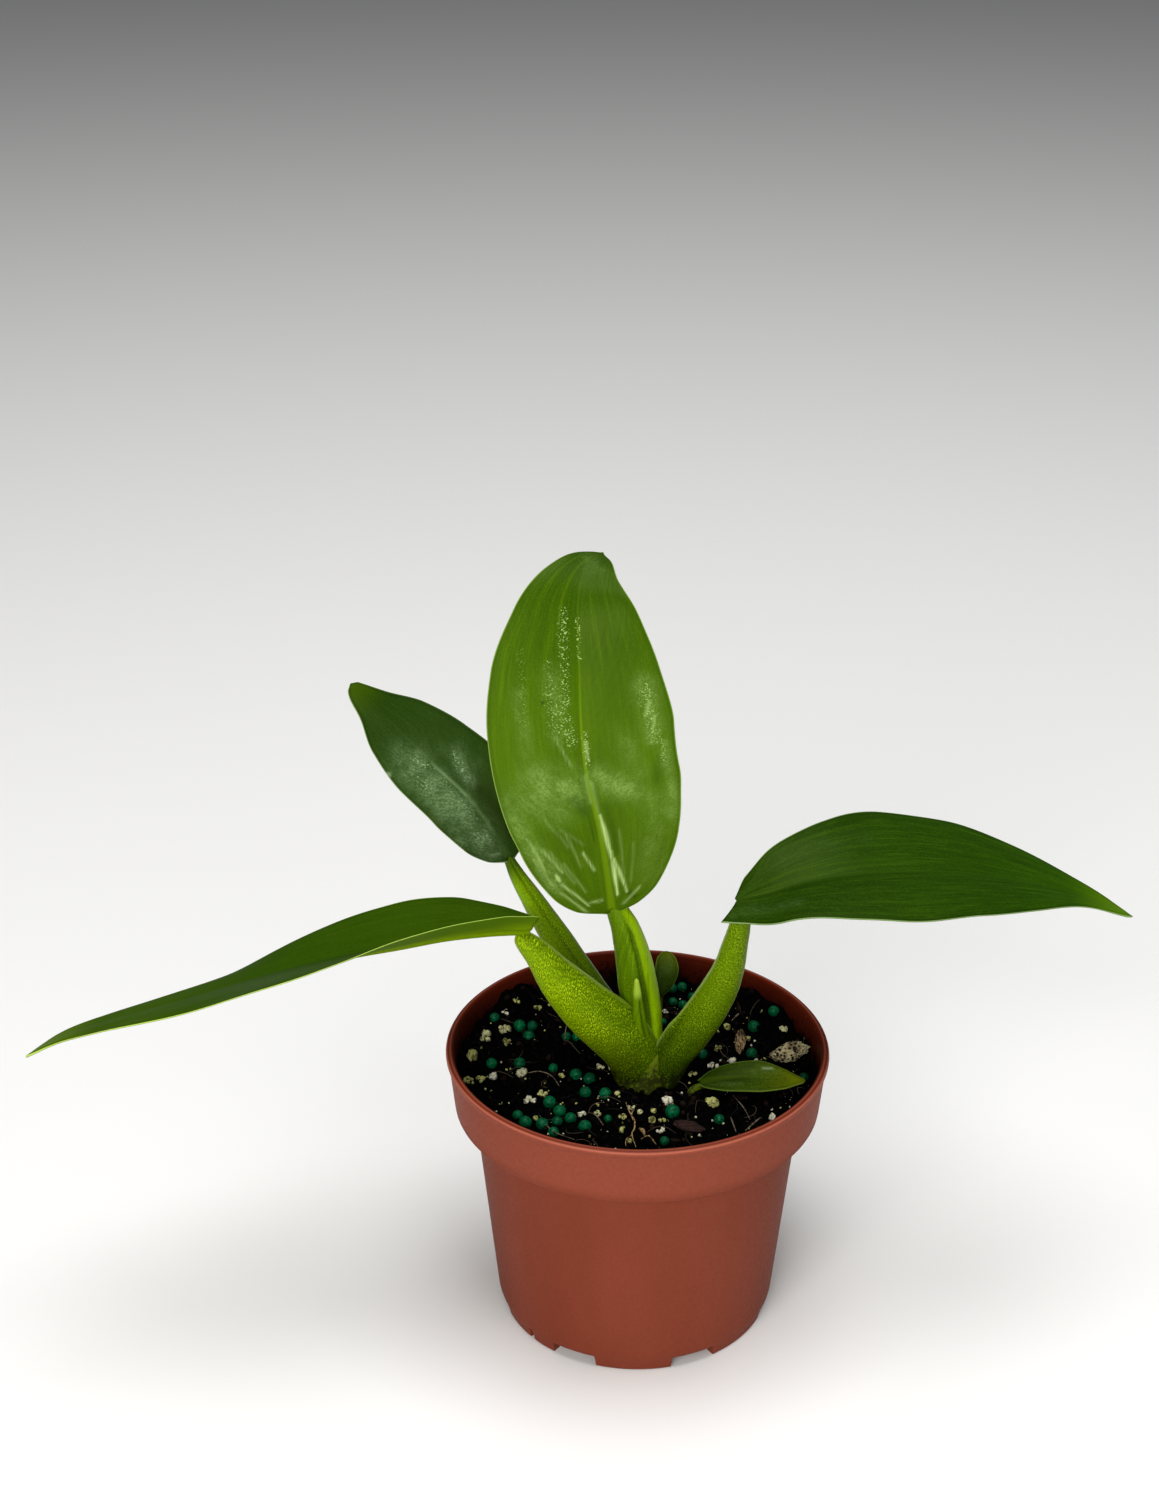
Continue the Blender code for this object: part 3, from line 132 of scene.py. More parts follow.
# Stalks: x, y, z, half width and half depth, from under the blade down to the crown
STALK_BACK = (0, 0.91, -0.42)
STALKS = {
    "stalk_left": (
        (-31.4, -4.2, 114.8, 1.6, 1.3), (-30.4, -4.1, 113.3, 2.4, 2.1), (-28.9, -4, 111.8, 3, 2.7),
        (-25.4, -3.6, 107.4, 4, 3.6), (-21.5, -3, 101.4, 5.3, 4.8), (-16.6, -2, 95, 6.5, 5.8),
        (-11.6, -1, 88.9, 7.3, 6.6), (-6, 0, 83.1, 7.8, 7.2), (-1.4, 1, 76.2, 7.4, 7.2),
        (0.9, 1.5, 66.5, 6.5, 6.5),
    ),
    "stalk_right": (
        (28.8, -3.9, 124.6, 1.2, 1.1), (27.2, -3.9, 122.3, 1.7, 1.6), (26.4, -4, 119.4, 2.5, 2.3),
        (26, -4, 116.6, 2.8, 2.6), (25, -4, 111.8, 3.3, 3.1), (23.5, -3.5, 104, 4.1, 3.8),
        (20.7, -2.5, 95.9, 4.9, 4.5), (16.7, -1.5, 87.7, 5.3, 5.1), (12.7, -0.8, 80.8, 5.2, 5.2),
        (9.2, -0.2, 74.6, 4.8, 5.2), (6.2, 0.4, 65.5, 4.6, 5),
    ),
    "stalk_centre": (
        (-7.2, 10.2, 119, 1.8, 1.3), (-5.9, 9.4, 115.6, 2.7, 2.3), (-4.8, 8.5, 113, 3.2, 2.9),
        (-3.1, 8, 109, 3.9, 3.6), (-1.2, 7.5, 101.1, 4.8, 4.5), (0.2, 7, 92.8, 5.2, 5),
        (1.3, 6.5, 85.3, 5.2, 5.2), (2.2, 5, 76.9, 4.8, 5), (2.3, 4, 66.5, 4.4, 4.8),
    ),
    "stalk_back": (
        (-37, 22.7, 128.4, 0.9, 0.8), (-34.9, 21.8, 124.5, 1.3, 1.2), (-33.6, 21.3, 121.8, 1.6, 1.5),
        (-32.1, 19.8, 119.2, 2.1, 2), (-27.9, 19, 112, 3, 2.8), (-22.9, 18, 103.4, 3.8, 3.5),
        (-18.3, 16.5, 96.6, 3.9, 3.7), (-13.8, 14, 90.6, 3.9, 4), (-9.2, 10.6, 84.9, 4, 4.3),
        (-4.6, 7, 77.4, 4.2, 4.6),
    ),
    "spear": (
        (-0.5, -2, 100, 0.5, 0.5), (-0.3, -2, 97.2, 0.9, 0.8), (0, -2, 92, 1.4, 1.3),
        (0.6, -1.8, 85.7, 1.9, 1.8), (1.8, -1.4, 78.4, 2.1, 2.1), (2.7, -1, 70.5, 2.2, 2.2),
    ),
    "small_stalk_back": (
        (7, 25.2, 80.4, 0.7, 0.6), (6.6, 24.2, 76.5, 0.9, 0.8), (6.2, 23, 71, 1, 1), (5.8, 22, 65, 1, 1),
    ),
    "small_stalk_front": (
        (18.2, -7.2, 70.4, 0.7, 0.6), (16, -7.2, 69.9, 0.9, 0.8), (14.4, -7.6, 68.8, 1, 1),
        (12.8, -8, 65.5, 1, 1),
    ),
}
# The shares of a stalk's length in which a fold ends and in which the stalk's own end is rounded
FOLD_END = 0.12
ROUND_END = 0.03
# Lengthwise folds in a stalk's surface: angle round it (0 is right, 90 away, 270 the camera's side), where
# along it from the blade they start and end, half width as an angle, and height (a groove is below 0)
STALK_FOLDS = {
    "stalk_left": ((300, 0.45, 1.1, 22, -0.35), (215, 0.2, 0.95, 40, 0.3)),
    "stalk_right": ((196, 0.6, 1, 7, 1.1), (214, 0.55, 1, 14, -0.4), (300, 0.1, 1.1, 35, 0.2)),
    "stalk_centre": ((286, 0.12, 1.1, 10, -0.75), (262, 0.1, 1.1, 14, 0.3), (308, 0.1, 1.1, 14, 0.3)),
    "stalk_back": ((285, 0.05, 1.1, 12, -0.3), (250, 0.05, 1.1, 22, 0.2)),
    "spear": ((300, 0.15, 1.1, 16, -0.5),),
}

# Blades, as the solids have them: spine, faces, widths, folds, curls, lobes and rib
TROUGH_ROUND = 3.0
RIB_REACH = 0.16
SMALL_RIB = 1.0
LOBE_FALL = 8.0
BLADES = {
    "blade_centre": {
        "spine": (
            (-6.9, 7, 115.8), (-8.4, 7.5, 127.7), (-10.4, 8.5, 139.7), (-12.2, 9.7, 147), (-14, 11.3, 156),
            (-15, 13.5, 166), (-15.4, 16.5, 177), (-15.8, 20.5, 189), (-15.7, 25, 197), (-14.4, 29.5, 201),
            (-12.2, 33.5, 202.9), (-9.3, 38, 203.6),
        ),
        "faces": ((0, 0.05, -1, 0.25), (0.5, 0.02, -1, 0.2), (0.85, 0.05, -0.9, 0.5),
                  (1, 0.1, -0.3, 1)),
        "widths": (
            ((0, 1), (0.03, 10), (0.08, 15.6), (0.2, 21.2), (0.35, 23.6), (0.5, 24.3), (0.65, 22.7),
             (0.8, 16.3), (0.9, 8), (0.96, 3.8), (1, 0.8)),
            ((0, 1), (0.03, 7.6), (0.08, 13.4), (0.2, 20.3), (0.35, 23.9), (0.5, 23.9), (0.65, 20.5),
             (0.8, 14.9), (0.9, 9.8), (0.96, 5.6), (1, 0.8)),
        ),
        "folds": (((0, 22), (0.15, 14), (0.5, 8), (0.8, 12), (1, 14)),
                  ((0, 22), (0.15, 14), (0.5, 8), (0.8, 14), (1, 24))),
        "curls": (((0, -8), (0.5, -14), (1, -6)),) * 2,
        "lobes": (1.5, 1.5),
        "rib": 1.3,
    },
    "blade_back": {
        "spine": (
            (-34.4, 20, 124.7), (-39.2, 22.5, 132.1), (-45.3, 26, 139.8), (-54.2, 32, 146.1),
            (-62.1, 37, 152), (-69.8, 43, 157.6), (-77.3, 50, 161.6),
        ),
        "faces": ((0, -0.25, -0.8, 0.6), (0.5, -0.2, -0.75, 0.6), (1, -0.1, -0.7, 0.65)),
        "widths": (
            ((0, 1), (0.04, 5.6), (0.12, 9.1), (0.3, 11.6), (0.5, 11.5), (0.7, 9.3), (0.85, 5.3),
             (0.95, 3.3), (1, 1.4)),
            ((0, 1), (0.04, 7), (0.12, 11.5), (0.3, 14.4), (0.5, 13.5), (0.7, 10.3), (0.85, 5),
             (0.95, 2.5), (1, 1.3)),
        ),
        "folds": (((0, 18), (0.5, 12), (1, 16)),) * 2,
        "curls": (((0, -10), (1, -10)),) * 2,
        "lobes": (1.5, 1.5),
        "rib": 1.3,
    },
    "blade_left": {
        "spine": (
            (-28.2, -4, 115.9), (-35.9, -4.5, 115.8), (-43.6, -5.5, 115.6), (-51.4, -6, 114.7),
            (-61.7, -7, 112.9), (-74.6, -8, 110.8), (-87.5, -9, 107.9), (-100.5, -10, 104.3),
            (-113.4, -11.5, 100.7), (-126.3, -13, 97.3), (-139.3, -14, 93.7), (-149.8, -15, 90),
            (-158.9, -16, 84.8),
        ),
        "faces": ((0, 0, 0.2, 0.98), (1, -0.25, 0.2, 0.98)),
        "widths": (
            ((0, 6), (0.05, 9), (0.15, 13.2), (0.3, 17.2), (0.42, 18), (0.6, 14.2), (0.75, 10.1),
             (0.85, 7.1), (0.93, 3.3), (1, 0.6)),
            ((0, 6), (0.05, 10.8), (0.15, 16.6), (0.25, 18.5), (0.35, 17.7), (0.45, 15.3), (0.6, 10),
             (0.75, 7.1), (0.85, 6.3), (0.93, 4.8), (0.97, 2.6), (1, 0.6)),
        ),
        "folds": (
            ((0, 68), (0.05, 52), (0.09, 43), (0.15, 35), (0.25, 26), (0.35, 16), (0.5, 9), (0.7, 4),
             (1, 2)),
            ((0, 24), (0.2, 25), (0.3, 23), (0.4, 18), (0.5, 12), (0.6, 5), (1, 4)),
        ),
        "curls": (((0, -6), (1, -8)),) * 2,
        "lobes": (2.5, 1),
        "rib": 1.3,
    },
    "blade_right": {
        "spine": (
            (24.9, -3.8, 124.3), (33, -4, 126.4), (42, -2.5, 128.8), (54.3, 0, 129.8), (68, 4, 128.6),
            (84, 8, 126), (104, 12.5, 120.6), (120, 15.5, 114.4), (132.8, 18, 107.4),
        ),
        "faces": ((0, 0, -0.25, 1), (0.5, 0, -0.2, 1), (1, 0.1, -0.2, 1)),
        "widths": (
            ((0, 0.8), (0.03, 6.6), (0.1, 11.8), (0.25, 18.8), (0.4, 22.9), (0.55, 21), (0.7, 14.8),
             (0.85, 7.1), (0.95, 2.8), (1, 0.6)),
            ((0, 5.4), (0.04, 7.8), (0.1, 12.9), (0.25, 18.6), (0.35, 20.5), (0.55, 17), (0.7, 11.7),
             (0.85, 4.8), (0.95, 1.9), (1, 0.5)),
        ),
        "folds": (
            ((0, 28), (0.2, 18), (0.5, 10), (1, 10)),
            ((0, -26), (0.04, -6), (0.12, 14), (0.25, 9), (0.5, 5), (1, 8)),
        ),
        "curls": (((0, -10), (1, -12)), ((0, -12), (1, -12))),
        "lobes": (0.4, 4.8),
        "rib": 1.3,
    },
    "small_blade_back": {
        "spine": ((7, 24, 79.3), (7.8, 24.5, 82.5), (8.4, 25.5, 86.6), (8.4, 28, 91.2)),
        "faces": ((0, 0.3, -0.9, 0.2), (1, 0.3, -0.8, 0.6)),
        "widths": (
            ((0, 0.6), (0.3, 2.8), (0.6, 3.5), (0.85, 2.9), (1, 0.9)),
            ((0, 0.6), (0.3, 2.8), (0.6, 3.5), (0.85, 2.7), (1, 0.9)),
        ),
        "folds": (((0, 15), (1, 15)),) * 2,
        "curls": (((0, 0), (1, 0)),) * 2,
        "lobes": (0, 0),
        "rib": 0.4,
    },
    "small_blade_front": {
        "spine": (
            (16.6, -7, 71.3), (22, -8, 73), (30, -9, 74.2), (38, -10, 74.2), (44, -10.5, 73.8),
        ),
        "faces": ((0, 0, -0.5, 1), (1, 0.1, -0.4, 1)),
        "widths": (
            ((0, 0.7), (0.1, 2.6), (0.3, 4.2), (0.55, 4.8), (0.8, 3), (0.93, 1.4), (1, 0.6)),
            ((0, 0.7), (0.1, 2.6), (0.3, 4.4), (0.55, 5), (0.8, 3.4), (0.93, 1.5), (1, 0.6)),
        ),
        "folds": (((0, 18), (1, 18)), ((0, 14), (1, 14))),
        "curls": (((0, -10), (1, -10)),) * 2,
        "lobes": (0.8, 0.8),
        "rib": 0.4,
    },
}

# Loose pieces on the soil: place, size, turns about X, Y and Z, roughness, and seed of the lump's shape
LUMPS = {
    "pumice_chunk": ((41.2, 7.6, 71.5), (12.2, 6.4, 5.4), (0, -12, 6), 0.3, 3),
    "bark_chip_pale": ((28.6, 15.5, 69.7), (3.2, 11, 1.8), (10, 0, -6), 0.22, 5),
    "bark_chip_red": ((12.8, -24, 68.8), (9.6, 5, 1.9), (0, 0, -30), 0.22, 9),
}

# How fine the modelled pieces are
BLADE_STATIONS = 190
BLADE_COLUMNS = 89
SMALL_STATIONS = 70
SMALL_COLUMNS = 37
PATH_SAMPLES = 96
SECTION_SAMPLES = 129
STALK_STATIONS = 170
STALK_SIDES = 76
SLIM_STALK = 2.5
CROWN_RINGS = 60
LAID_POINTS = 40
FIBRE_POINTS = 14
# Extra columns of a blade near its margins, as shares of its half width
EDGE_COLUMNS = (-0.994, -0.985, 0.985, 0.994)

# A blade's relief: vein height and spacing, the midrib's groove, the puckers near the foot, the margin's
# wave, half the thickness, the half width of the pale midrib band, the rounded tip, how much of the relief
# the small blades have, and the finest line that the points of a blade can hold
VEIN_RELIEF = 0.018
VEIN_SPACING = 3.2
GROOVE_WIDTH = 1.3
GROOVE_DEPTH = 0.3
PUCKER = 0.16
PUCKER_FOLDS = 11.0
PUCKER_REACH = 8.0
PUCKER_WIDTH = 6.0
MARGIN_WAVE = 0.12
BLADE_HALF = 0.28
RIB_BAND = 1.4
RIB_BAND_TIP = 0.12
TIP_ROUND_FROM = 0.975
TIP_ROUND = 0.97
SMALL_RELIEF = 0.3
FINEST_LINE = 0.34

# Marks on the blades: soft sheens and stippled sparks that are painted highlights, fine bright lines that
# are mostly painted highlights (one is a pale scar), and painted shade, with one real dark speck. Each is a
# stripe: share along the blade and distance over from the midrib at both ends, half width, and strength
MARKS = {
    "blade_centre": {
        "sheen": (
            (0.375, -13, 0.35, -5.5, 4.4, 1), (0.34, -18, 0.31, -9, 4, 0.5), (0.36, 3, 0.325, 9.5, 3.2, 1),
            (0.31, 11.5, 0.25, 19, 3.2, 0.5), (0.60, 16.4, 0.46, 18.6, 3, 0.6),
            (0.46, 11.6, 0.36, 13, 3, 0.3), (0.44, 20.8, 0.27, 20.6, 1.6, 0.55),
            (0.64, -7.5, 0.48, -5.6, 2.4, 0.4), (0.59, -15.5, 0.45, -14.5, 1.8, 0.4),
            (0.347, -22, 0.23, -18.8, 2.6, 0.6), (0.23, -18.8, 0.11, -14.2, 2.4, 0.8),
            (0.24, 15, 0.1, 11.5, 3.4, 0.3), (0.95, -1, 0.93, 2, 2.5, 0.35),
        ),
        "spark": (
            (0.791, -3.9, 0.56, -3.8, 1.4, 0.8), (0.56, -4.8, 0.464, -2.8, 1.6, 1),
            (0.778, 0, 0.674, 0, 0.8, 0.65), (0.669, -8.2, 0.60, -6.9, 1.2, 0.5),
            (0.70, -14.8, 0.50, -14.5, 1.4, 0.3), (0.60, -8, 0.50, -6.5, 2.5, 0.45),
            (0.60, 16.6, 0.46, 18.7, 2.2, 0.6), (0.444, 20.3, 0.381, 20.3, 0.7, 0.8),
            (0.481, 0.8, 0.406, 0.8, 0.75, 1.3),
        ),
        "line": (
            (0.46, 0.8, 0.415, 0.9, 0.3, 0.8), (0.377, -0.4, 0.301, -0.8, 0.14, 0.6),
            (0.356, 0.8, 0.272, 0.8, 0.16, 0.7), (0.264, 0.9, 0.146, 1.7, 0.45, 1.3),
            (0.165, 1.9, 0.042, 2, 0.4, 1.3), (0.142, 2.4, 0.054, 4.6, 0.45, 1),
            (0.176, -5.5, 0.121, -3.3, 0.26, 0.9), (0.481, -6.9, 0.406, -3.6, 0.15, 0.7),
            (0.255, -10.1, 0.197, -4.9, 0.12, 0.4), (0.255, -19, 0.155, -16.1, 0.2, 0.7),
            (0.209, -15.7, 0.138, -11.7, 0.2, 0.8), (0.192, -18.6, 0.113, -15, 0.2, 0.6),
            (0.3, -13.5, 0.2, -9, 0.14, 0.45), (0.24, -9, 0.14, -6.5, 0.16, 0.5),
            (0.2, -14, 0.1, -9, 0.14, 0.5), (0.16, -11, 0.07, -6.5, 0.16, 0.5),
            (0.22, 5, 0.1, 4.5, 0.14, 0.4), (0.18, 8, 0.08, 6, 0.14, 0.35),
            (0.085, -13, 0.02, -7, 0.2, 0.8), (0.105, -12.3, 0.033, -6.2, 0.3, 0.8),
            (0.038, -5.6, 0.033, -2.3, 0.2, 0.9), (0.134, -13.4, 0.117, -12.8, 0.4, 1.1),
            (0.067, 8.2, 0.021, 3.3, 0.2, 0.8), (0.561, 17.7, 0.523, 16.6, 0.22, 0.7),
            (0.523, 19, 0.485, 18.3, 0.22, 0.6),
        ),
        "shade": (
            (0.85, 6, 0.55, 9, 6, 0.4), (0.318, -4.3, 0.285, -2.7, 1.6, 0.9),
            (0.25, -12.5, 0.18, -3.6, 2.6, 0.25), (0.285, 3.2, 0.163, 3.6, 1.1, 0.6),
            (0.39, 20.3, 0.33, 17.5, 1.6, 0.5), (0.37, -2.2, 0.2, -1.9, 0.35, 0.9),
            (0.054, 4.9, 0.042, 6.4, 0.7, 1), (0.126, -13.9, 0.11, -13.4, 0.5, 1),
            (0.569, -9.7, 0.569, -9.5, 0.35, 2.4),
        ),
    },
    "blade_back": {
        "sheen": (
            (0.58, -4.5, 0.1, -4, 4.4, 0.85), (0.42, -6.5, 0.15, -7, 3.6, 0.65),
            (0.45, 6.5, 0.34, 3, 2.4, 0.6), (0.5, 4.5, 0.36, 7, 2, 0.3),
        ),
        "spark": (
            (0.56, -2.5, 0.48, -1.2, 1, 0.6), (0.5, -6, 0.42, -5, 2, 0.5), (0.44, 5.8, 0.36, 3.4, 1.4, 0.7),
            (0.14, -4, 0.1, -1.5, 1.2, 0.6), (0.4, -2, 0.2, -2, 1.5, 0.35),
        ),
        "line": (
            (0.5, -0.3, 0.3, -0.2, 0.2, 0.6), (0.3, -0.2, 0.12, 0.2, 0.14, 0.3),
            (0.6, -10.3, 0.585, -10.4, 0.5, 1), (0.05, -4, 0.03, -1.5, 0.2, 0.6),
        ),
        "shade": ((0.34, 3.4, 0.08, 5, 2.4, 0.8), (0.28, -4.5, 0.25, -2.6, 0.25, 0.5)),
    },
    "blade_left": {"sheen": ((0.62, -3, 0.5, -10, 2.4, 0.1),)},
    "blade_right": {
        "sheen": ((0.13, -9, 0.33, -12, 3.6, 0.2), (0.02, 4, 0.13, 8, 1.6, 0.5)),
    },
    "small_blade_back": {"sheen": ((0.25, -1.2, 0.85, -0.6, 2.6, 0.8),)},
    "small_blade_front": {
        "sheen": ((0.45, -1.5, 0.75, -1.8, 0.9, 0.25), (0.1, 1.8, 0.4, 2.4, 0.8, 0.3)),
        "line": ((0.6, -2.6, 0.68, -2.8, 0.2, 0.9),),
        "shade": ((0, 0, 0.38, 0.5, 3.2, 0.85), (0.2, -2, 0.5, -3, 1.2, 0.8)),
    },
}

# A stalk's soft lumps and its fine pimples
LUMP_HEIGHT = 0.12
PIMPLE_HEIGHT = 0.035

# How much small litter lies on the soil, and how far out
CRUMB_COUNT = 1700
CHIP_COUNT = 16
SPECK_COUNT = 260
FIBRE_COUNT = 110
CRUMB_LIMIT = 47.6
SPECK_LIMIT = 46.5
FIBRE_LIMIT = 45.0
# Where facets are struck off a grain, as a share of its radius, and an axis that no strand follows
FACET_DEPTH = 0.6
STRAND_AXIS = (0.13, 0.21, 0.97)

# Roots and fibres laid one by one: points along each, and its radius
ROOTS = (
    (((-3.2, -13.1, 69), (-2.8, -16, 69.2), (-1.9, -19.4, 69.1), (-1.1, -22.2, 69.3), (-1.2, -25.4, 69),
      (-1.9, -28.6, 69.3), (-1, -33.7, 68.9)), 0.2),
    (((-1.1, -16.8, 69), (-1.8, -19, 69.3), (-1.5, -21.6, 69)), 0.17),
    (((0.1, -25.2, 69), (0.9, -26.6, 69.2), (1.4, -28.4, 68.9)), 0.5),
    (((0.4, -30.2, 69), (2.4, -29.2, 69.3), (4.2, -32.3, 68.8)), 0.18),
    (((-1.9, -28.6, 69.2), (-3.4, -30.4, 69), (-3.6, -33, 68.8)), 0.12),
)
THREADS = (
    (((-29.6, 1, 69), (-26, 1.2, 69.4), (-22.8, -0.8, 69.2), (-20.8, -5, 68.8)), 0.17),
    (((-13, -18, 69), (-11.2, -19.6, 69.3), (-9.2, -23.6, 68.8)), 0.16),
    (((-19.4, 18, 69), (-19.2, 19.6, 71.2), (-18.4, 21, 73)), 0.13),
    (((27.2, 31, 69.8), (29.6, 33.4, 70.6), (32, 34.6, 70.4)), 0.3),
    (((27, 27.6, 69.2), (29.2, 30, 70), (31.4, 31.2, 69.8)), 0.24),
    (((29.6, 35, 70.4), (30.4, 36.2, 73.4)), 0.2),
    (((25.2, -9.4, 68.8), (27.6, -16.4, 69.4), (29, -21, 68.8)), 0.16),
    (((24, -19.8, 68.8), (25, -27, 69)), 0.18),
    (((27.4, -26.4, 69), (31, -22.4, 69.8), (32, -20.6, 69.2)), 0.22),
    (((46.3, 15.6, 78), (46.5, 15, 74), (45.6, 14, 70)), 0.13),
    (((-26, -19, 69), (-22.4, -27, 69.4), (-16.6, -30.4, 68.9)), 0.14),
)

# Shine: the plain specular level of dull things, and the tint of waxy skins
PLAIN_SPECULAR = 0.15
WAXY_TINT = (0.8, 1.0, 0.25, 1.0)

# The pot's tones, as screen values: the collar's tone is lighter than the body's as painted light, and the
# inside tones are painted shade, darker lower down. Fine rings are painted on its lip, a dark groove line as
# painted shade and two pale lines as painted highlights: radius, half width, strength and tone
POT_TONES = {
    "body": (112, 50, 33), "body_light": (119, 56, 39), "body_dark": (94, 36, 19), "collar": (129, 63, 46),
    "lip": (128, 62, 46), "inside": (46, 10, 2), "inside_top": (74, 22, 8), "dirt": (5, 3, 3),
}
LIP_PAINTED_RINGS = (
    (50.28, 0.36, 0.85, (92, 32, 18)), (50.8, 0.2, 0.3, (200, 120, 98)), (49.2, 0.22, 0.3, (166, 88, 66)),
)

# Where the pumice turns from pitted to smooth
PUMICE_SMOOTH_X = 45.0 + AXIS_X

# Looks of the blades' skins, over what they share: tones (sheen and glint are painted highlight tones),
# where the top and tip tones start, and strengths
LEAF_BASE = dict(top_from=0.5, tip_from=0.8, margin_strength=0.8, far_margin=1.0)
LEAF_LOOKS = {
    "leaf_centre": dict(foot=(58, 86, 0), mid=(61, 91, 0), top=(34, 62, 0), dark=(38, 66, 0),
        light=(84, 114, 2), rib=(94, 124, 2), tip=(46, 66, 12), sheen=(106, 134, 60), glint=(168, 194, 116),
        margin=(122, 147, 66), below=(82, 108, 8), keel=(104, 130, 4), tip_from=0.92, streak=0.34,
        thread=0.22, rib_strength=0.7, tip_strength=0.5, gloss=0.3, specular=0.12, grain=0.16),
    "leaf_back": dict(foot=(24, 46, 6), mid=(27, 51, 9), top=(26, 50, 4), dark=(13, 32, 2),
        light=(38, 64, 14), rib=(52, 78, 26), tip=(48, 70, 0), sheen=(94, 118, 78), glint=(138, 162, 120),
        margin=(122, 144, 92), below=(52, 78, 14), keel=(70, 96, 10), streak=0.3, thread=0.15,
        rib_strength=0.3, tip_strength=0.9, far_margin=0.3, gloss=0.38, specular=0.08, grain=0.3),
    "leaf_left": dict(foot=(44, 70, 2), mid=(42, 69, 2), top=(58, 86, 0), dark=(30, 54, 0),
        light=(68, 98, 10), rib=(50, 78, 8), tip=(100, 130, 10), sheen=(66, 92, 44), glint=(100, 124, 80),
        margin=(174, 197, 90), below=(70, 98, 8), keel=(104, 130, 2), tip_from=0.82, streak=0.2,
        thread=0.12, rib_strength=0.15, tip_strength=0.45, margin_strength=1.0, far_margin=0.35, gloss=0.42,
        specular=0.04, grain=0.14),
    "leaf_right": dict(foot=(24, 47, 0), mid=(28, 56, 0), top=(36, 72, 0), dark=(18, 40, 0),
        light=(52, 84, 4), rib=(48, 76, 8), tip=(84, 122, 0), sheen=(54, 78, 30), glint=(96, 122, 76),
        margin=(126, 150, 92), below=(70, 96, 8), keel=(92, 118, 4), top_from=0.45, streak=0.5, thread=0.42,
        rib_strength=0.25, tip_strength=0.8, gloss=0.4, specular=0.1, grain=0.25),
    "leaf_small": dict(foot=(20, 35, 0), mid=(40, 61, 0), top=(96, 106, 0), dark=(22, 38, 0),
        light=(66, 86, 4), rib=(62, 84, 8), tip=(92, 100, 0), sheen=(72, 96, 40), glint=(156, 178, 136),
        margin=(96, 116, 40), below=(58, 78, 6), keel=(70, 92, 6), streak=0.35, thread=0.3,
        rib_strength=0.3, tip_strength=0.6, margin_strength=0.5, gloss=0.34, specular=0.14, grain=0.55),
}

# Looks of the stalks' skins, over what they share. The shaded and lit strengths are painted shade on one
# side of a stalk and painted light on the other, and the rim tone at the edge strength is a painted
# highlight along its outline
STALK_BASE = dict(tip_strength=0.0, lit=0.0)
STALK_LOOKS = {
    "stalk_left": dict(top=(106, 136, 0), foot=(30, 44, 0), dark=(54, 80, 0), light=(118, 146, 0),
        spark=(162, 188, 10), rim=(128, 150, 40), tip=(98, 126, 0), streak=0.2, stipple=1.0, shaded=0.85,
        relief=0.16, edge=0.5),
    "stalk_right": dict(top=(88, 117, 0), foot=(24, 41, 0), dark=(36, 58, 0), light=(98, 126, 0),
        spark=(124, 152, 8), rim=(136, 158, 70), tip=(92, 118, 4), streak=0.2, stipple=1.0, shaded=0.3,
        relief=0.16, edge=0.75),
    "stalk_centre": dict(top=(72, 102, 0), foot=(70, 98, 0), dark=(40, 66, 0), light=(128, 162, 0),
        spark=(118, 148, 6), rim=(126, 148, 56), tip=(82, 112, 0), streak=0.6, stipple=0.35, shaded=0.0,
        relief=0.08, edge=0.6, lit=1.0),
    # The back stalk's top tone is lighter as painted light, standing in for light the blades keep off it
    "stalk_back": dict(top=(122, 160, 0), foot=(40, 62, 0), dark=(40, 66, 0), light=(104, 132, 2),
        spark=(128, 158, 8), rim=(128, 144, 92), tip=(52, 80, 0), streak=0.4, stipple=0.9, shaded=0.3,
        relief=0.12, edge=0.7, tip_strength=0.9),
    "spear": dict(top=(84, 114, 0), foot=(72, 100, 0), dark=(40, 64, 0), light=(100, 130, 0),
        spark=(108, 136, 6), rim=(80, 104, 10), tip=(140, 166, 50), streak=0.5, stipple=0.3, shaded=0.2,
        relief=0.06, edge=0.3, tip_strength=1.0),
    "stalk_small": dict(top=(70, 88, 4), foot=(76, 78, 14), dark=(34, 44, 2), light=(82, 94, 14),
        spark=(96, 108, 24), rim=(96, 104, 44), tip=(52, 64, 4), streak=0.4, stipple=0.3, shaded=0.2,
        relief=0.05, edge=0.4),
}

# Lights: place in metres, size, power in watts and colour
TARGET = (0.0, 0.0, 0.11)
LIGHTS = {
    "key_left": ((-0.55, -1.55, 0.95), (1.0, 0.8), 23.0, (1.0, 0.985, 0.96)),
    "fill_right": ((0.9, -1.3, 0.9), (0.9, 0.9), 3.5, (1.0, 0.99, 0.98)),
    "top": ((0.1, -0.1, 1.7), (1.2, 1.2), 26.0, (0.98, 0.99, 1.0)),
    "low_front": ((0.0, -1.2, 0.15), (1.2, 0.12), 3.5, (1.0, 1.0, 1.0)),
}
WORLD_COLOR = (0.94, 0.96, 1.0, 1.0)
WORLD_STRENGTH = 0.1
FLOOR_HALF = 6.0

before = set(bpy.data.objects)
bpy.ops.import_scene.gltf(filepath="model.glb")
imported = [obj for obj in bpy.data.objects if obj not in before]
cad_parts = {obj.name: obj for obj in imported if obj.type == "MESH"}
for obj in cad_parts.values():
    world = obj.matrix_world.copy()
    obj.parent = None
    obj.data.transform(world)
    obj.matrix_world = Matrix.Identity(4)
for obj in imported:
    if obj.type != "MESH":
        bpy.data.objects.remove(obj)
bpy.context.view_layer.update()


def in_frame(points):
    """Return points in metres in the shared frame, from millimetres about the pot's axis."""
    return (np.asarray(points, float) + (AXIS_X, 0.0, 0.0)) * MM


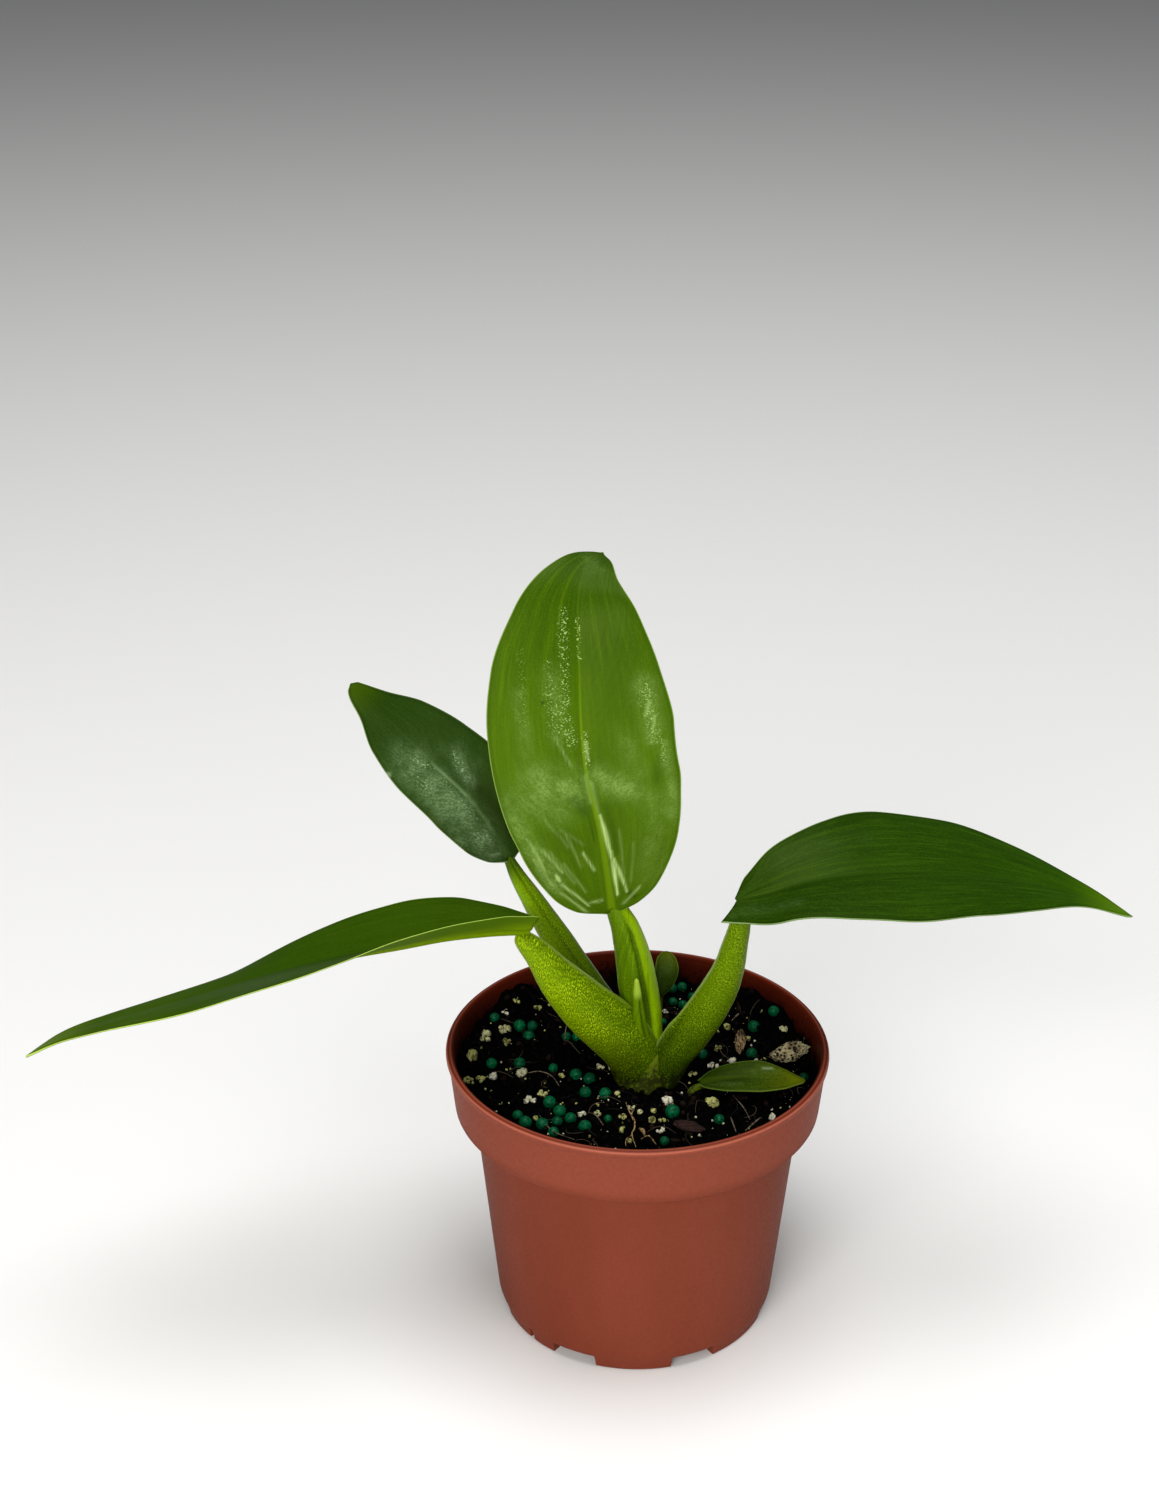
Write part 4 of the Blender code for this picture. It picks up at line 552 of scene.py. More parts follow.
def add_object(name, data):
    """Return a new object in the scene that holds the data."""
    obj = bpy.data.objects.new(name, data)
    bpy.context.scene.collection.objects.link(obj)
    return obj


def add_values(mesh, values):
    """Keep numbers at a mesh's points, as many as there are points, under each key."""
    for key, numbers in values.items():
        layer = mesh.attributes.new(key, "FLOAT", "POINT")
        layer.data.foreach_set("value", np.asarray(numbers, np.float32).ravel())


def add_mesh(name, points, faces, values=None):
    """Return a smooth mesh object of points in millimetres, with its values."""
    mesh = bpy.data.meshes.new(name)
    mesh.from_pydata(in_frame(points).tolist(), [], [tuple(face) for face in faces])
    add_values(mesh, values or {})
    mesh.validate()
    mesh.shade_smooth()
    return add_object(name, mesh)


def turn_faces_out(obj):
    """Turn all of an object's faces outwards and return it."""
    shape = bmesh.new()
    shape.from_mesh(obj.data)
    bmesh.ops.recalc_face_normals(shape, faces=shape.faces)
    shape.to_mesh(obj.data)
    shape.free()
    return obj


def dress(obj, nodes, material):
    """Make an object a piece of the part that stands for the nodes and has a finish."""
    obj.data.materials.clear()
    obj.data.materials.append(material)
    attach(obj, "root")
    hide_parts(*nodes)


def smooth_path(points, count):
    """Return count points evenly spaced along a smooth curve through the points, with all their values."""
    knots = np.array(points, float)
    ends = np.vstack([2 * knots[0] - knots[1], knots, 2 * knots[-1] - knots[-2]])
    path = []
    for a, b, c, d in zip(ends, ends[1:], ends[2:], ends[3:]):
        for t in np.linspace(0.0, 1.0, PATH_SAMPLES, endpoint=False):
            cubic = (3 * b - a - 3 * c + d) * t ** 3
            path.append(0.5 * (2 * b + (c - a) * t + (2 * a - 5 * b + 4 * c - d) * t ** 2 + cubic))
    path = np.array(path + [knots[-1]])
    length = np.r_[0.0, np.cumsum(np.linalg.norm(np.diff(path[:, :3], axis=0), axis=1))]
    places = np.linspace(0.0, length[-1], count)
    return np.stack([np.interp(places, length, column) for column in path.T], axis=1)


def profile(x, pairs):
    """Return a smooth curve through the (place, value) pairs that doesn't overshoot them, read at x."""
    places, values = np.array(pairs, float).T
    steps = np.diff(places)
    rises = np.diff(values) / steps
    slopes = np.r_[rises[0], 0.0 * rises[1:], rises[-1]]
    for i in range(1, len(steps)):
        product = rises[i - 1] * rises[i]
        if product > 0:
            slopes[i] = 2 * product / (rises[i - 1] + rises[i])
    k = np.clip(np.searchsorted(places, x) - 1, 0, len(steps) - 1)
    t = (x - places[k]) / steps[k]
    start = (2 * t ** 3 - 3 * t ** 2 + 1) * values[k] + (t ** 3 - 2 * t ** 2 + t) * steps[k] * slopes[k]
    end = (3 * t ** 2 - 2 * t ** 3) * values[k + 1] + (t ** 3 - t ** 2) * steps[k] * slopes[k + 1]
    return start + end


def unit(vectors):
    """Return the vectors at length 1."""
    return vectors / np.linalg.norm(vectors, axis=-1, keepdims=True)


def path_length(points):
    """Return how long a path through the points is."""
    return np.linalg.norm(np.diff(points, axis=0), axis=1).sum()


def rise(values, low, high):
    """Return 0 below low, 1 above high, and a smooth step between them."""
    share = np.clip((values - low) / (high - low), 0.0, 1.0)
    return share * share * (3 - 2 * share)


def bell(values, width):
    """Return 1 at zero, falling off smoothly to both sides over a width."""
    return np.exp(-(values / width) ** 2)


def turn_away(angles, place):
    """Return how far angles in degrees are from a place, the short way round."""
    return np.abs((angles - place + 180) % 360 - 180)


def soften(rows, reach):
    """Return rows of numbers smoothed along the first axis, with both ends kept."""
    weights = np.hanning(2 * reach + 3)[1:-1]
    weights /= weights.sum()
    head = 2 * rows[0] - rows[reach:0:-1]
    tail = 2 * rows[-1] - rows[-2:-reach - 2:-1]
    padded = np.concatenate([head, rows, tail])
    return np.stack([np.convolve(column, weights, "valid") for column in padded.T], axis=1)


def rough(points, size, octaves, seed):
    """Return soft random heights of about -1 to 1 at points in millimetres, with waves of a size."""
    shift = Vector((seed * 17.3, seed * 7.1, seed * 3.7))
    return np.array([noise.fractal(Vector(p) / size + shift, 0.9, 2.1, octaves) for p in points])


def grid_faces(rows, columns, closed):
    """Return the quads of a grid of points, which may be closed round its rows."""
    i, j = np.meshgrid(np.arange(rows - 1), np.arange(columns if closed else columns - 1), indexing="ij")
    a, b = (i * columns + j).ravel(), (i * columns + (j + 1) % columns).ravel()
    return np.stack([a, b, b + columns, a + columns], axis=1)


def loft(name, rings, values=None):
    """Return a closed loft through rings of points, with flat ends."""
    count, sides = rings.shape[:2]
    last = (count - 1) * sides
    faces = grid_faces(count, sides, True).tolist()
    faces += [range(sides - 1, -1, -1), range(last, last + sides)]
    return turn_faces_out(add_mesh(name, rings.reshape(-1, 3), faces, values))


def even_angles(count):
    """Return evenly spaced angles all round."""
    return np.arange(count) * 2 * math.pi / count


def ring_points(centres, radii, across, behind):
    """Return evenly spaced points round each centre, at the radii given."""
    angle = even_angles(radii.shape[1])[:, None]
    ring = across[:, None] * np.cos(angle) + behind[:, None] * np.sin(angle)
    return centres[:, None] + radii[..., None] * ring


def half_section(reach, width, fold, curl):
    """Return how far out and how high one half of a blade is at each share of its width in reach."""
    share = np.linspace(0.0, 1.0, SECTION_SAMPLES)
    arc_length = share * width[:, None]
    angle = fold[:, None] * np.clip(arc_length / TROUGH_ROUND, 0, 1) + curl[:, None] * share
    steps = np.diff(arc_length, axis=1)
    middle = (angle[:, 1:] + angle[:, :-1]) / 2
    sums = [np.cumsum(np.pad(turn(middle) * steps, ((0, 0), (1, 0))), axis=1) for turn in (np.cos, np.sin)]
    return [np.array([np.interp(reach, share, row) for row in rows]) for rows in sums]


def blade_surface(spec, stations, across):
    """Return a blade's middle surface, its normals, and how far each point is from the midrib."""
    s = np.linspace(0.0, 1.0, stations)
    smoothing = stations // 24
    spine = soften(smooth_path(spec["spine"], stations), smoothing)
    tangent = unit(np.gradient(spine, axis=0))
    faces = np.array(spec["faces"], float)
    looks = unit(faces[:, 1:])
    normal = np.stack([np.interp(s, faces[:, 0], looks[:, k]) for k in range(3)], axis=1)
    normal = soften(normal, 2 * smoothing)
    normal = unit(normal - (normal * tangent).sum(axis=1, keepdims=True) * tangent)
    right = np.cross(tangent, normal)
    surface = np.repeat(spine[:, None, :], len(across), axis=1)
    over = np.zeros((stations, len(across)))
    for side, chosen in enumerate((across < 0, across >= 0)):
        reach, sign = np.abs(across[chosen]), np.sign(across[chosen])
        width = profile(s, spec["widths"][side]) * np.sqrt(1 - rise(s, TIP_ROUND_FROM, 1.0) ** 2 * TIP_ROUND)
        fold, curl = (np.radians(profile(s, spec[key][side])) for key in ("folds", "curls"))
        out, lift = half_section(reach, width, fold, curl)
        back = spec["lobes"][side] * reach[None, :] ** 1.5 * (1 - s[:, None]) ** LOBE_FALL
        surface[:, chosen] += right[:, None] * (sign * out)[..., None]
        surface[:, chosen] += normal[:, None] * lift[..., None] - tangent[:, None] * back[..., None]
        over[:, chosen] = sign * reach[None, :] * width[:, None]
    along, sideways = (np.gradient(surface, axis=axis) for axis in (0, 1))
    return surface, unit(np.cross(sideways, along)), over


def stripes(rows, along, over, length, pointed):
    """Return how strongly each point of a blade lies in soft-edged stripes, pointed or round-ended."""
    amount = np.zeros_like(over)
    for start, start_over, end, end_over, half, strength in rows:
        ax, ay = start * length, start_over
        bx, by = end * length - ax, end_over - ay
        share = np.clip(((along - ax) * bx + (over - ay) * by) / (bx * bx + by * by), 0, 1)
        away = np.hypot(along - ax - share * bx, over - ay - share * by)
        reach = half
        if pointed:
            reach = np.maximum(half * (0.4 + 0.9 * np.sin(math.pi * share)), FINEST_LINE)
            strength = strength * min(1.0, half / FINEST_LINE)
        amount = np.maximum(amount, strength * bell(away, reach))
    return amount


def blade_relief(small, s, t, over, length, vein):
    """Return how far a blade's upper and lower faces are lifted by veins, groove, puckers and waves."""
    fade = rise(np.abs(over), 0.5, 3.0) * (1 - rise(t, 0.9, 1.0)) * (1 - rise(s, 0.9, 1.0))
    sway = 2.2 * np.sin(vein / 7.3 + 1.0) + 1.1 * np.sin(over / 3.1 + vein / 4.7)
    relief = VEIN_RELIEF * np.sin(2 * math.pi * vein / VEIN_SPACING + sway) * fade
    groove = GROOVE_DEPTH * bell(over, GROOVE_WIDTH) * (1 - s) ** 0.6
    reach = np.hypot(s * length, over)
    fan = np.arctan2(np.abs(over), s * length + 1.0)
    relief = relief + PUCKER * np.sin(PUCKER_FOLDS * fan) * bell(reach - PUCKER_REACH, PUCKER_WIDTH)
    relief = relief + MARGIN_WAVE * np.sin(vein / 4.1 + np.sign(over)) * t ** 3 * rise(s, 0.02, 0.2)
    scale = SMALL_RELIEF if small else 1.0
    return scale * (relief - groove), scale * relief


def blade_piece(name, spec):
    """Return a thin blade with a grooved midrib above and a rib below, veined in low relief."""
    small = spec["rib"] < SMALL_RIB
    stations, columns = (SMALL_STATIONS, SMALL_COLUMNS) if small else (BLADE_STATIONS, BLADE_COLUMNS)
    across = np.sort(np.r_[np.linspace(-1.0, 1.0, columns - len(EDGE_COLUMNS)), EDGE_COLUMNS])
    surface, normals, over = blade_surface(spec, stations, across)
    s = np.linspace(0.0, 1.0, stations)[:, None]
    t = np.abs(across)[None, :]
    length = path_length(surface[:, columns // 2])
    vein = length * (s - 0.42 * t ** 0.9 * (0.3 + 0.7 * s))
    upper_lift, lower_lift = blade_relief(small, s, t, over, length, vein)
    half = BLADE_HALF * np.sqrt(1 - (t * 0.985) ** 10)
    rib = spec["rib"] * 0.5 * (1 + np.cos(math.pi * np.clip(t / RIB_REACH, 0, 1))) * (1 - s) ** 0.7
    upper = surface + normals * (upper_lift + half)[..., None]
    lower = surface + normals * (lower_lift - half - rib)[..., None]
    below = stations * columns
    faces = grid_faces(stations, columns, False)
    under = below + faces[:, ::-1]
    rim = [(i, 0) for i in range(stations)]
    rim += [(stations - 1, j) for j in range(1, columns)]
    rim += [(i, columns - 1) for i in range(stations - 2, -1, -1)]
    rim += [(0, j) for j in range(columns - 2, 0, -1)]
    ring = [i * columns + j for i, j in rim]
    edge = [(p, q, below + q, below + p) for p, q in zip(ring, ring[1:] + ring[:1])]
    grids = {
        "along": s + 0 * t,
        "side": across[None, :] + 0 * s,
        "rim": np.abs(over).max(axis=1, keepdims=True) * (1 - t),
        "over": over,
        "vein": vein,
        "band": np.abs(over) / (RIB_BAND * (1 - s) ** 1.8 + RIB_BAND_TIP),
    }
    # Amounts of the marks: painted sheen, painted glints, bright lines (mostly painted highlights) and
    # painted shade
    for kind in ("sheen", "spark", "line", "shade"):
        grids[kind] = stripes(MARKS[name].get(kind, ()), s * length, over, length, kind == "line")
    values = {key: np.tile(grid.ravel(), 2) for key, grid in grids.items()}
    values["under"] = np.repeat([0.0, 1.0], below)
    points = np.vstack([upper.reshape(-1, 3), lower.reshape(-1, 3)])
    faces = faces.tolist() + under.tolist() + edge
    return turn_faces_out(add_mesh(name + "_fine", points, faces, values))


def oval(wide, deep, angle):
    """Return an oval's radius at each angle, for each half width and half depth."""
    wide, deep = wide[:, None], deep[:, None]
    return wide * deep / np.hypot(deep * np.cos(angle), wide * np.sin(angle))


def stalk_piece(name, sections):
    """Return a leaf stalk: a loft that swells from the blade down, with lengthwise folds and soft lumps."""
    slim = max(section[3] for section in sections) < SLIM_STALK
    fineness = 2 if slim else 1
    stations, sides = STALK_STATIONS // fineness, STALK_SIDES // fineness
    path = soften(smooth_path(sections, stations), stations // 16)
    centres, wide = path[:, :3], path[:, 3, None]
    tangent = unit(np.gradient(centres, axis=0))
    across = unit(np.cross(tangent, np.array(STALK_BACK)))
    behind = np.cross(across, tangent)
    angle = even_angles(sides)
    radii = oval(path[:, 3], path[:, 4], angle)
    s = np.linspace(0.0, 1.0, stations)[:, None]
    fold = 0.0 * radii
    for place, start, end, half_angle, height in STALK_FOLDS.get(name, ()):
        there = rise(s, start, start + FOLD_END) * (1 - rise(s, end - FOLD_END, end))
        fold = fold + height * there * bell(turn_away(np.degrees(angle), place), half_angle)[None, :]
    radii = (radii + fold) * np.sqrt(np.clip(1 - (1 - s / ROUND_END).clip(0) ** 2, 0.02, 1))
    flat = ring_points(centres, radii, across, behind).reshape(-1, 3)
    bumps = LUMP_HEIGHT * rough(flat, 5.0, 2, len(name)) + PIMPLE_HEIGHT * rough(flat, 0.9, 2, 3.0)
    radii = radii + bumps.reshape(radii.shape) * np.clip(wide / 5, 0, 1)
    values = {
        "along": s + 0 * radii,
        "run": s * path_length(centres) + 0 * radii,
        "round": angle[None, :] * wide,
        "right": np.cos(angle)[None, :] + 0 * wide,
        "fold": fold,
    }
    return loft(name + "_fine", ring_points(centres, radii, across, behind), values)


def crown_piece():
    """Return the short stem, lumpy and with the stalks' feet round it."""
    table = np.array(CROWN_SECTIONS)
    heights = np.linspace(table[0, 0], table[-1, 0], CROWN_RINGS)
    wide, deep = (profile(heights, table[:, (0, column)]) for column in (1, 2))
    radii = oval(wide, deep, even_angles(STALK_SIDES))
    centres = np.stack([0 * heights + CROWN_PLACE[0], 0 * heights + CROWN_PLACE[1], heights], axis=1)
    across, behind = (np.tile(axis, (CROWN_RINGS, 1)) for axis in ((1.0, 0.0, 0.0), (0.0, 1.0, 0.0)))
    spots = ring_points(centres, radii, across, behind).reshape(-1, 3)
    radii = radii + 0.3 * rough(spots, 3.0, 3, 8.0).reshape(radii.shape) - 0.2
    return loft("crown_stem", ring_points(centres, radii, across, behind))


def body_radius(z):
    """Return the pot body's outer radius at a height below the collar."""
    return FOOT_RADIUS + (BODY_TOP_RADIUS - FOOT_RADIUS) * z / COLLAR_BOTTOM_Z


def collar_radius(z):
    """Return the collar's outer radius at a height."""
    share = (z - COLLAR_BOTTOM_Z) / (POT_HEIGHT - INSIDE_TOP - COLLAR_BOTTOM_Z)
    return COLLAR_BOTTOM_RADIUS + (COLLAR_TOP_RADIUS - COLLAR_BOTTOM_RADIUS) * share


def arc(x, z, radius, start, end, count):
    """Return points along an arc about (x, z), from one angle to another in degrees."""
    angles = np.radians(np.linspace(start, end, count))
    return [(x + radius * math.cos(angle), z + radius * math.sin(angle)) for angle in angles]


def pot_profile():
    """Return the pot's profile as (radius, height): up the inside, over the lip and down to the foot."""
    top, step = POT_HEIGHT, COLLAR_BOTTOM_Z
    floor = FLOOR_UNDERSIDE_Z + FLOOR_THICKNESS
    inside = [(AXIS_RING, floor), (12.0, floor), (30.0, floor)]
    inside += arc(body_radius(floor) - WALL - FLOOR_CORNER, floor + FLOOR_CORNER, FLOOR_CORNER, -90, 0, 5)
    inside += [(body_radius(z) - WALL, z) for z in np.linspace(12, step - 2, 6)]
    inside += [
        (body_radius(step) - WALL + 0.2, step - 0.6),
        (collar_radius(step) - WALL - 0.8, step + 0.9),
    ]
    inside += [(collar_radius(z) - WALL, z) for z in (step + 2.0, 70.0, top - 3.2)]
    lip = [(LIP_RADIUS - 2.35, top - 2.4)] + arc(LIP_RADIUS - 1.25, top - 0.85, 0.85, 185, 60, 8)
    lip += arc(LIP_RADIUS - 1.1, top - 1.1, 1.1, 50, -55, 9)
    collar = [(COLLAR_TOP_RADIUS + 0.02, top - 2.35), (COLLAR_TOP_RADIUS - 0.08, top - 2.9)]
    collar += [(collar_radius(z), z) for z in np.linspace(top - 4.0, step + 1.4, 6)]
    collar += arc(collar_radius(step) - 0.7, step + 0.75, 0.75, 0, -80, 6)
    body = arc(BODY_TOP_RADIUS + 0.75, step - 0.95, 0.85, 95, 180, 6)
    body += [(body_radius(z), z) for z in np.linspace(58.0, 7.0, 12)]
    foot = [(body_radius(z) - inwards, z) for inwards, z in FOOT_SHOULDER]
    foot += [(FOOT_RADIUS - inwards, z) for inwards, z in FOOT_OUTER]
    foot += [(FOOT_RADIUS - inwards - FOOT_WIDTH, z) for inwards, z in FOOT_INNER]
    return inside + lip + collar + body + foot + [(28.0, FLOOR_UNDERSIDE_Z), (AXIS_RING, FLOOR_UNDERSIDE_Z)]


def notch_depth(angles):
    """Return how much of a notch there is at each angle round the foot, from 0 to 1."""
    depth = np.zeros_like(angles)
    cuts = [(place, NOTCH_WIDTH) for place in NOTCH_ANGLES] + [(place, NICK_WIDTH) for place in NICK_ANGLES]
    for place, width in cuts:
        away = turn_away(angles, place) * math.pi / 180 * FOOT_RADIUS
        depth = np.maximum(depth, 1 - rise(away, (width - NOTCH_SLOPE) / 2, (width + NOTCH_SLOPE) / 2))
    return depth


def pot_angles():
    """Return the angles of the pot's steps, with extra ones at the sides of the notches."""
    angles = [np.arange(POT_STEPS) * 360 / POT_STEPS]
    half = math.degrees(NOTCH_WIDTH / 2 / FOOT_RADIUS)
    angles += [place + edge + np.linspace(-0.4, 0.4, 5) for place in NOTCH_ANGLES for edge in (-half, half)]
    half = math.degrees((NICK_WIDTH + NOTCH_SLOPE) / 2 / FOOT_RADIUS)
    angles += [place + np.linspace(-half, half, 11) for place in NICK_ANGLES]
    return np.unique(np.round(np.concatenate(angles) % 360, 3))


def pot_piece():
    """Return the pot, turned, with its foot notched and the drain holes cut."""
    angles = pot_angles()
    turns = np.radians(angles)[None, :]
    points = np.array(pot_profile())
    radius, height = (np.repeat(points[:, k:k + 1], len(angles), axis=1) for k in (0, 1))
    lifted = NOTCH_HEIGHT + 0.05 * height
    notched = height + (lifted - height) * notch_depth(angles)[None, :]
    height = np.where(height < lifted, notched, height)
    pot = loft("pot_moulding", np.stack([radius * np.cos(turns), radius * np.sin(turns), height], axis=-1))
    cut_hole(pot, 0.0, 0.0)
    for k in range(DRAIN_COUNT):
        angle = math.radians(DRAIN_FIRST_ANGLE + k * 360 / DRAIN_COUNT)
        cut_hole(pot, DRAIN_RING_RADIUS * math.cos(angle), DRAIN_RING_RADIUS * math.sin(angle))
    co = np.array([vert.co for vert in pot.data.vertices]) / MM - (AXIS_X, 0.0, 0.0)
    reach, z = np.hypot(co[:, 0], co[:, 1]), co[:, 2]
    outer = np.where(z > COLLAR_BOTTOM_Z, collar_radius(z), body_radius(z))
    inside = (reach < outer - WALL / 2) & (z > FLOOR_UNDERSIDE_Z + 0.5) & (z < POT_HEIGHT - 0.04)
    add_values(pot.data, {"inside": inside, "reach": reach})
    pot.data.set_sharp_from_angle(angle=math.radians(50))
    return pot


def cut_hole(obj, x, y):
    """Cut a round drain hole through the pot's floor."""
    shape = bmesh.new()
    radius = DRAIN_RADIUS * MM
    bmesh.ops.create_cone(shape, cap_ends=True, segments=40, radius1=radius, radius2=radius, depth=6 * MM)
    shape.transform(Matrix.Translation(in_frame((x, y, FLOOR_UNDERSIDE_Z + FLOOR_THICKNESS / 2))))
    mesh = bpy.data.meshes.new("hole")
    shape.to_mesh(mesh)
    shape.free()
    cutter = add_object("hole", mesh)
    modifier = obj.modifiers.new("Hole", "BOOLEAN")
    modifier.operation = "DIFFERENCE"
    modifier.object = cutter
    bpy.context.view_layer.update()
    cut = bpy.data.meshes.new_from_object(obj.evaluated_get(bpy.context.evaluated_depsgraph_get()))
    obj.modifiers.clear()
    obj.data = cut
    bpy.data.objects.remove(cutter, do_unlink=True)


def soil_height(x, y):
    """Return the soil surface's height, in gentle heaps and hollows, banked up against the wall."""
    waves = 0.5 * np.sin(0.31 * x + 1.1) * np.cos(0.27 * y)
    waves += 0.35 * np.sin(0.63 * x - 0.41 * y + 0.6)
    waves += 0.25 * np.cos(0.52 * x + 0.71 * y + 2.0)
    angle = np.degrees(np.arctan2(y, x))
    bank = sum(height * np.exp(-(turn_away(angle, place) / half) ** 4) for place, half, height in BANKS)
    return SOIL_Z + SOIL_RELIEF * waves + bank * rise(np.hypot(x, y), BANK_FOOT, BANK_TOP)


def on_soil(x, y, lift):
    """Return the place a lift above the soil's surface at x and y."""
    return x, y, float(soil_height(x, y)) + lift


def soil_piece():
    """Return the soil: a crumbly top on a plain filling of the pot's inside."""
    step = COLLAR_BOTTOM_Z
    wall = [
        (collar_radius(step + 2) - WALL - CLEARANCE, step + 2.3),
        (collar_radius(step) - WALL - 0.9, step + 1.3),
        (body_radius(step) - WALL - CLEARANCE, step - 0.4),
        (body_radius(6.8) - WALL - CLEARANCE, 7.1),
        (body_radius(5.6) - WALL - 1.5, 5.9),
    ]
    angle = even_angles(SOIL_SECTORS)
    edge = collar_radius(soil_height(BANK_TOP * np.cos(angle), BANK_TOP * np.sin(angle))) - WALL - 0.1
    reach = edge * (np.arange(1, SOIL_RINGS + 1)[:, None] / SOIL_RINGS) ** 0.8
    x, y = (reach * np.cos(angle)).ravel(), (reach * np.sin(angle)).ravel()
    spots = np.stack([x, y, 0 * x], axis=1)
    crumbs = 0.9 * rough(spots, 2.6, 4, 1.0) + 0.5 * np.abs(rough(spots, 1.0, 3, 2.0))
    points = [np.array([on_soil(0.0, 0.0, 0.0)]), np.stack([x, y, soil_height(x, y) + crumbs - 0.4], axis=1)]
    for radius, z in wall:
        points.append(np.stack([radius * np.cos(angle), radius * np.sin(angle), z + 0 * angle], axis=1))
    count = SOIL_RINGS + len(wall)
    faces = [(0, 1 + j, 1 + (j + 1) % SOIL_SECTORS) for j in range(SOIL_SECTORS)]
    faces += (1 + grid_faces(count, SOIL_SECTORS, True)[:, (0, 3, 2, 1)]).tolist()
    last = 1 + (count - 1) * SOIL_SECTORS
    faces.append(range(last, last + SOIL_SECTORS))
    return turn_faces_out(add_mesh("soil_bed", np.vstack(points), faces))


def scatter(clumps, draw, taken):
    """Return grains as x, y and radius, drawn in clumps, clear of the crown, the rim and each other."""
    grains = []
    for x, y, count, spread, radius in clumps:
        for _ in range(count):
            for _ in range(TRIES):
                angle = draw.uniform(0, 2 * math.pi)
                reach = spread * math.sqrt(draw.random())
                spot = (x + reach * math.cos(angle), y + reach * math.sin(angle))
                clear = all(math.dist(spot, other[:2]) > radius + other[2] for other in taken)
                off_crown = math.dist(spot, CROWN_PLACE) > CROWN_KEEP_OUT
                if clear and off_crown and math.hypot(*spot) < GRAIN_LIMIT:
                    taken.append((*spot, radius))
                    grains.append((*spot, radius))
                    break
    return grains


def ball(subdivisions):
    """Return the points and faces of a round ball of radius 1."""
    shape = bmesh.new()
    bmesh.ops.create_icosphere(shape, subdivisions=subdivisions, radius=1.0)
    points = np.array([vert.co for vert in shape.verts])
    faces = np.array([[vert.index for vert in face.verts] for face in shape.faces])
    shape.free()
    return points, faces


def random_axis(draw):
    """Return a random direction."""
    return unit(np.array([draw.gauss(0, 1) for _ in range(3)]))


def turned(points, draw):
    """Return points turned about the origin by a random rotation."""
    first, second = random_axis(draw), random_axis(draw)
    third = unit(np.cross(first, second))
    return points @ np.stack([first, np.cross(third, first), third])


def chipped(points, draw, cuts):
    """Return points with flat facets struck off at random."""
    for _ in range(cuts):
        facet = random_axis(draw)
        points = points - np.maximum(points @ facet - FACET_DEPTH, 0)[:, None] * facet
    return points


def join_bits(name, bits):
    """Return one object of many small closed bits, each given as its points, its faces and its tint."""
    points, faces, tints = zip(*bits)
    counts = [len(bit) for bit in points]
    starts = np.cumsum([0] + counts[:-1])
    faces = np.vstack([bit + start for bit, start in zip(faces, starts)])
    return add_mesh(name, np.vstack(points), faces.tolist(), {"tint": np.repeat(tints, counts)})


def prill_pieces(spots, draw):
    """Return the round fertiliser prills, each a slightly dented ball."""
    base, faces = ball(4)
    bits = []
    for x, y, size in spots:
        radius = size * draw.uniform(0.97, 1.03)
        dents = 1 + 0.02 * rough(turned(base, draw), 0.9, 2, draw.uniform(0, 9))
        place = on_soil(x, y, radius * (1 - 2 * SUNK) + 0.15)
        bits.append((base * dents[:, None] * radius + place, faces, draw.random()))
    return join_bits("fertiliser_prills", bits)


def perlite_pieces(spots, draw):
    """Return the perlite: chipped chunks, and crumpled clusters of small lumps."""
    base, faces = ball(3)
    bits = []
    for x, y, size in spots:
        tint = draw.random()
        lumps = draw.choice((1, 6, 8)) if size > 1.0 else draw.choice((1, 3))
        at = np.array(on_soil(x, y, size * 0.4))
        for _ in range(lumps):
            reach = size * (draw.uniform(0.85, 1.0) if lumps == 1 else draw.uniform(0.26, 0.46))
            out = 0.0 if lumps == 1 else size * math.sqrt(draw.uniform(0.05, 0.8))
            turn = draw.uniform(0, 2 * math.pi)
            place = at + (out * math.cos(turn), out * math.sin(turn), draw.uniform(-0.15, 0.3) * size)
            grain = chipped(base * (1.0, 0.8, 0.75), draw, 8)
            pits = 1 + 0.22 * rough(base, 0.5, 3, draw.uniform(0, 50))
            bits.append((turned(grain * pits[:, None], draw) * reach * 1.25 + place, faces, tint))
    return join_bits("perlite_grains", bits)


def soil_spot(draw, limit):
    """Return a random place on the soil."""
    reach = limit * math.sqrt(draw.random())
    angle = draw.uniform(0, 2 * math.pi)
    return reach * math.cos(angle), reach * math.sin(angle)


def crumb_pieces(draw):
    """Return peat crumbs and dark bark bits that lie all over the soil."""
    base, faces = ball(2)
    bits = []
    for k in range(CRUMB_COUNT + CHIP_COUNT):
        x, y = soil_spot(draw, CRUMB_LIMIT)
        chip = k >= CRUMB_COUNT
        size = draw.uniform(1.2, 2.6) if chip else draw.uniform(0.3, 1.0) ** 1.3 * 1.15
        shape = (1.0, draw.uniform(0.3, 0.5), 0.22) if chip else (1.0, draw.uniform(0.6, 0.9), 0.7)
        bit = base * (1 + 0.28 * rough(base, 0.8, 2, draw.uniform(0, 50)))[:, None] * shape * size
        if chip:
            turn = Matrix.Rotation(draw.uniform(0, math.pi), 3, "Z")
            bit = bit @ np.array(turn @ Matrix.Rotation(draw.uniform(-0.4, 0.4), 3, "X")).T
        else:
            bit = turned(bit, draw)
        tint = draw.uniform(0.2, 1.0) if chip else draw.random() ** 4
        bits.append((bit + on_soil(x, y, size * (0.05 if chip else 0.2)), faces, tint))
    return join_bits("soil_crumbs", bits)


